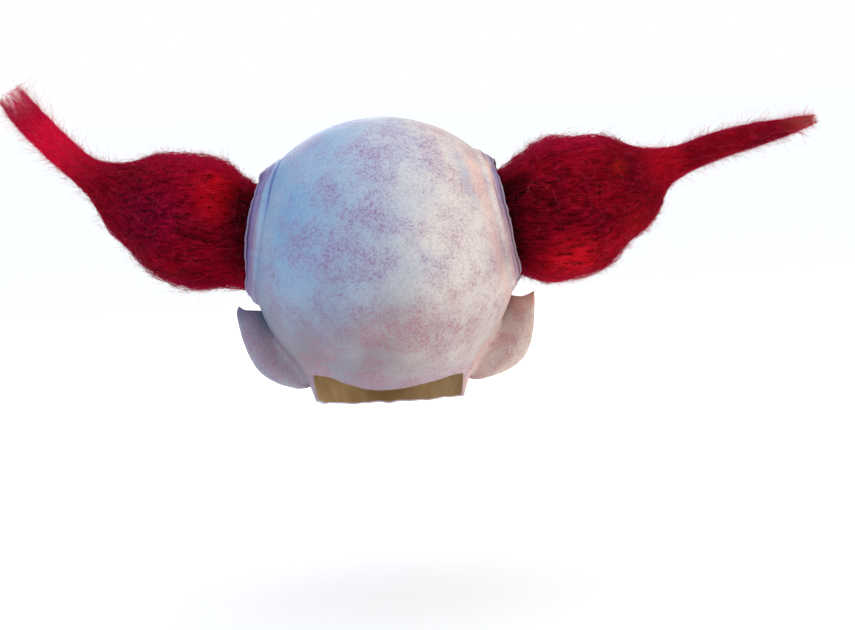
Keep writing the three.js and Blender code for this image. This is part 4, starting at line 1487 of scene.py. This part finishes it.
def outside_head(nodes, place):
    """Strand points moved out to the oval of the head's side where they lie inside it."""
    parts = nodes.node("ShaderNodeSeparateXYZ", None, {0: place})
    x, y, z = (parts.out(k) for k in "XYZ")
    wide, deep, tall = (radius * MM for radius in ROOT_OVAL["radii"])
    level_share = y / deep
    height_share = (z + (ROOT_OVAL["drop"] - CROWN_Z) * MM) / tall
    inner = 1 - level_share * level_share - height_share * height_share
    head_x = wide * nodes.math("SQRT", nodes.math("MAXIMUM", inner, 0.0))
    return nodes.joined(nodes.math("SIGN", x) * nodes.math("MAXIMUM", abs(x), head_x), y, z)


def hair_tree():
    """Grows strands round a spine: each starts somewhere along it, follows it and wanders."""
    tree = bpy.data.node_groups.new("teased_hair", "GeometryNodeTree")
    hair_sockets(tree)
    nodes = Nodes(tree)
    given = nodes.node("NodeGroupInput")
    spine = nodes.node("GeometryNodeMeshToCurve", None, {"Mesh": given})
    spine = nodes.node("GeometryNodeSetCurveNormal", {"mode": "Z_UP"}, {"Curve": spine})
    line = nodes.node("GeometryNodeCurvePrimitiveLine")
    line = nodes.node("GeometryNodeResampleCurve", None, {"Curve": line, "Count": given.out("Points")})
    copies = nodes.node(
        "GeometryNodeDuplicateElements", {"domain": "SPLINE"}, {0: line, "Amount": given.out("Strands")})
    number = copies.out("Duplicate Index")

    def chance(offset, low=0.0, high=1.0):
        inputs = {"Min_001": low, "Max_001": high, "ID": number, "Seed": given.out("Seed") + offset}
        return nodes.node("FunctionNodeRandomValue", {"data_type": "FLOAT"}, inputs, "Value_001")

    t = nodes.node("GeometryNodeSplineParameter", None, None, "Factor")
    start_low, start_high = given.out("Start Low"), given.out("Start High")
    start = start_low + (start_high - start_low) * chance(1) ** given.out("Start Bias")
    length = chance(2, given.out("Length Low"), given.out("Length High"))
    length = nodes.math("MINIMUM", length, chance(11, *TIP_FRAY) - start)
    share = start + nodes.math("MAXIMUM", length, SHORTEST_STRAND) * t
    turn = chance(4, 0.0, 2 * math.pi)
    angle = turn + (chance(3) - 0.5) * given.out("Wander") * t
    along = start * LOCK_PATTERN["along"]
    rooted = nodes.joined(nodes.math("COSINE", turn), nodes.math("SINE", turn), along)
    lock_tone = nodes.noise(rooted, LOCK_PATTERN["size"], 4.0, 0.75)
    radius = nodes.node(
        "GeometryNodeInputNamedAttribute", {"data_type": "FLOAT"}, {"Name": "tuft_radius"})
    spot = nodes.node(
        "GeometryNodeSampleCurve", {"mode": "FACTOR", "use_all_curves": True},
        {"Curves": spine, "Value": radius, "Factor": share}, "Position")
    tangent, level = spot.out("Tangent"), spot.out("Normal")
    upward = nodes.vector("CROSS_PRODUCT", tangent, level)
    cosine, sine = nodes.math("COSINE", angle), nodes.math("SINE", angle)
    narrower = TUFT_FLATTEN["body"] - TUFT_FLATTEN["root"]
    flat = TUFT_FLATTEN["root"] + narrower * nodes.step(share, *TUFT_FLATTEN["ends"])
    way = nodes.vector("ADD", nodes.scaled(level, cosine * flat), nodes.scaled(upward, sine))
    round_spine = nodes.joined(cosine, sine, share * LUMP_PATTERN["along"])
    lumps = nodes.noise(round_spine, LUMP_PATTERN["size"], 2.0)
    depth = chance(5, given.out("Depth Low"), given.out("Depth High"))
    depth = depth + (0.5 * lumps + 0.5 * lock_tone - 0.5) * given.out("Clump")
    fly = given.out("Fly") * chance(6) ** given.out("Fly Power") * t ** 1.5
    reach = spot.out("Value") * depth + fly
    rate = given.out("Frizz Rate")
    own = nodes.joined(share * rate, chance(7, 0.0, 400.0), chance(8, 0.0, 400.0))
    frizz = nodes.vector("SUBTRACT", nodes.noise(own, 1.0, 2.0, output="Color"), (0.5, 0.5, 0.5))
    room = nodes.math("MINIMUM", spot.out("Value") * 30, 1.0)
    frizz = nodes.scaled(frizz, given.out("Frizz") * (0.5 + 0.5 * room))
    place = nodes.vector("ADD", spot, nodes.scaled(way, reach))
    place = nodes.vector("ADD", place, frizz)
    place = outside_head(nodes, place)
    strands = nodes.node("GeometryNodeSetPosition", None, {"Geometry": copies, "Position": place})
    # How much painted light pales a strand towards its loose end.
    fade = given.out("Fade") * (0.3 + 0.7 * t)
    # Strands on the top and bottom of a tuft, for painted light on its fringe.
    backlit_fringe = nodes.step(abs(sine), 0.75, 1.0)
    shades = {"strand": chance(9), "lock_tone": lock_tone, "fade": fade, "backlit_fringe": backlit_fringe}
    for name, value in shades.items():
        strands = nodes.node(
            "GeometryNodeStoreNamedAttribute", {"data_type": "FLOAT", "domain": "POINT"},
            {"Geometry": strands, "Name": name, "Value": value})
    taper = given.out("Thickness") * (0.25 + 0.75 * (1 - t) ** 0.7)
    section = nodes.node("GeometryNodeCurvePrimitiveCircle", None, {"Resolution": 3, "Radius": 1.0})
    tubes = nodes.node(
        "GeometryNodeCurveToMesh", None,
        {"Curve": strands, "Profile Curve": section, "Scale": taper, "Fill Caps": True})
    tubes = nodes.node("GeometryNodeSetShadeSmooth", None, {"Geometry": tubes})
    tubes = nodes.node("GeometryNodeRealizeInstances", None, {"Geometry": tubes})
    fibre = given.out("Material")
    tubes = nodes.node("GeometryNodeSetMaterial", None, {"Geometry": tubes, "Material": fibre})
    nodes.node("NodeGroupOutput", None, {0: tubes})
    return tree


def make_strands(side_name, layer, tree, material):
    """One layer of a tuft's strands, grown along its spine."""
    centre, radius = tuft_spine(side_name)
    mesh = bpy.data.meshes.new("spine")
    edges = [(i, i + 1) for i in range(len(centre) - 1)]
    mesh.from_pydata((centre * MM).tolist(), edges, [])
    attribute = mesh.attributes.new("tuft_radius", "FLOAT", "POINT")
    attribute.data.foreach_set("value", (radius * MM).astype(np.float32))
    piece = add_object(f"hair_tuft_{side_name}_{layer}", mesh)
    grow = piece.modifiers.new("grow", "NODES")
    grow.node_group = tree
    column = HAIR_LAYERS.index(layer)
    values = {name: sizes[column] for name, sizes in HAIR_SIZES.items()}
    values["Seed"] = HAIR_SEED + 100 * list(SIDES).index(side_name) + 20 * column
    values["Material"] = material
    for item in tree.interface.items_tree:
        if item.in_out == "INPUT" and item.name in values:
            grow[item.identifier] = values[item.name]
    take_result(piece)
    finish_piece(piece)


# Stage, light and camera

def make_floor():
    """A wide, plain pale floor."""
    (left, right), (near, far) = FLOOR["x"], FLOOR["y"]
    corners = [(x, y, FLOOR["z"]) for x, y in ((left, near), (right, near), (right, far), (left, far))]
    floor = mesh_object("floor", np.array(corners) / MM, [(0, 1, 2, 3)])
    finish = Finish("pale_floor", Roughness=0.9, Specular_IOR_Level=0.1)
    finish.shade("Base Color", (0.95, 0.95, 0.95))
    floor.data.materials.append(finish.material)


def make_sun():
    """A broad even light from straight above."""
    light = bpy.data.lights.new("overhead", "SUN")
    light.energy = OVERHEAD["energy"]
    light.angle = math.radians(OVERHEAD["spread"])
    add_object("overhead", light)


def make_light(row):
    """A disk of light that looks at the head's middle."""
    light = bpy.data.lights.new(row.name, "AREA")
    light.shape = "DISK"
    light.size = row.size
    light.energy = row.power
    light.color = row.colour
    lamp = add_object(row.name, light)
    lamp.location = row.place
    lamp.rotation_euler = (HEAD_MIDDLE - Vector(row.place)).to_track_quat("-Z", "Y").to_euler()


def make_world():
    """Soft light from all round, with plain white where the camera sees past the floor."""
    world = bpy.data.worlds.new("studio")
    world.use_nodes = True
    nodes = Nodes(world.node_tree)
    seen = nodes.node("ShaderNodeLightPath", None, None, "Is Camera Ray")
    background = world.node_tree.nodes["Background"]
    strength = ALL_ROUND["strength"]
    nodes.feed(background.inputs["Color"], nodes.mix(seen, ALL_ROUND["colour"], (1, 1, 1)))
    nodes.feed(background.inputs["Strength"], strength + (1 - strength) * seen)
    bpy.context.scene.world = world


def make_camera():
    """The photograph's view from behind, rolled a little, aimed so that no lens shift is needed."""
    back = Vector((0, math.cos(VIEW_ELEVATION), math.sin(VIEW_ELEVATION)))
    level = (-back).cross(Vector((0, 0, 1))).normalized()
    upright = level.cross(-back)
    right = level * math.cos(VIEW_ROLL) - upright * math.sin(VIEW_ROLL)
    up = upright * math.cos(VIEW_ROLL) + level * math.sin(VIEW_ROLL)
    turned = Matrix((right, up, back)).transposed()
    focal = VIEW_DISTANCE / METRES_PER_PIXEL
    across = HEAD_PIXEL[0] - PHOTO["width"] / 2
    above = PHOTO["height"] / 2 - HEAD_PIXEL[1]
    towards = Vector((across, above, -focal)).normalized()
    aim = towards.rotation_difference(Vector((0, 0, -1))).to_matrix()
    lens = bpy.data.cameras.new("camera")
    lens.sensor_width = SENSOR
    lens.lens = SENSOR * focal / PHOTO["width"]
    camera = add_object("camera", lens)
    eye = HEAD_MIDDLE + back * VIEW_DISTANCE
    camera.matrix_world = Matrix.Translation(eye) @ (turned @ aim).to_4x4()
    bpy.context.scene.camera = camera


def make_studio():
    make_camera()
    make_floor()
    make_world()
    make_sun()
    for row in LIGHTS:
        make_light(row)
    settings = bpy.context.scene.view_settings
    settings.view_transform = "Standard"
    settings.look = "None"


make_studio()
latex = painted_latex()
inside = bare_latex()
make_casting([latex, inside])
collar = collar_latex()
for side_name, side in SIDES.items():
    make_collar(f"hair_collar_{side_name}", side, collar)
core = hair_core()
fibre = hair_fibre()
teased = hair_tree()
for side_name in SIDES:
    make_core(side_name, core)
    for layer in HAIR_LAYERS:
        make_strands(side_name, layer, teased, fibre)
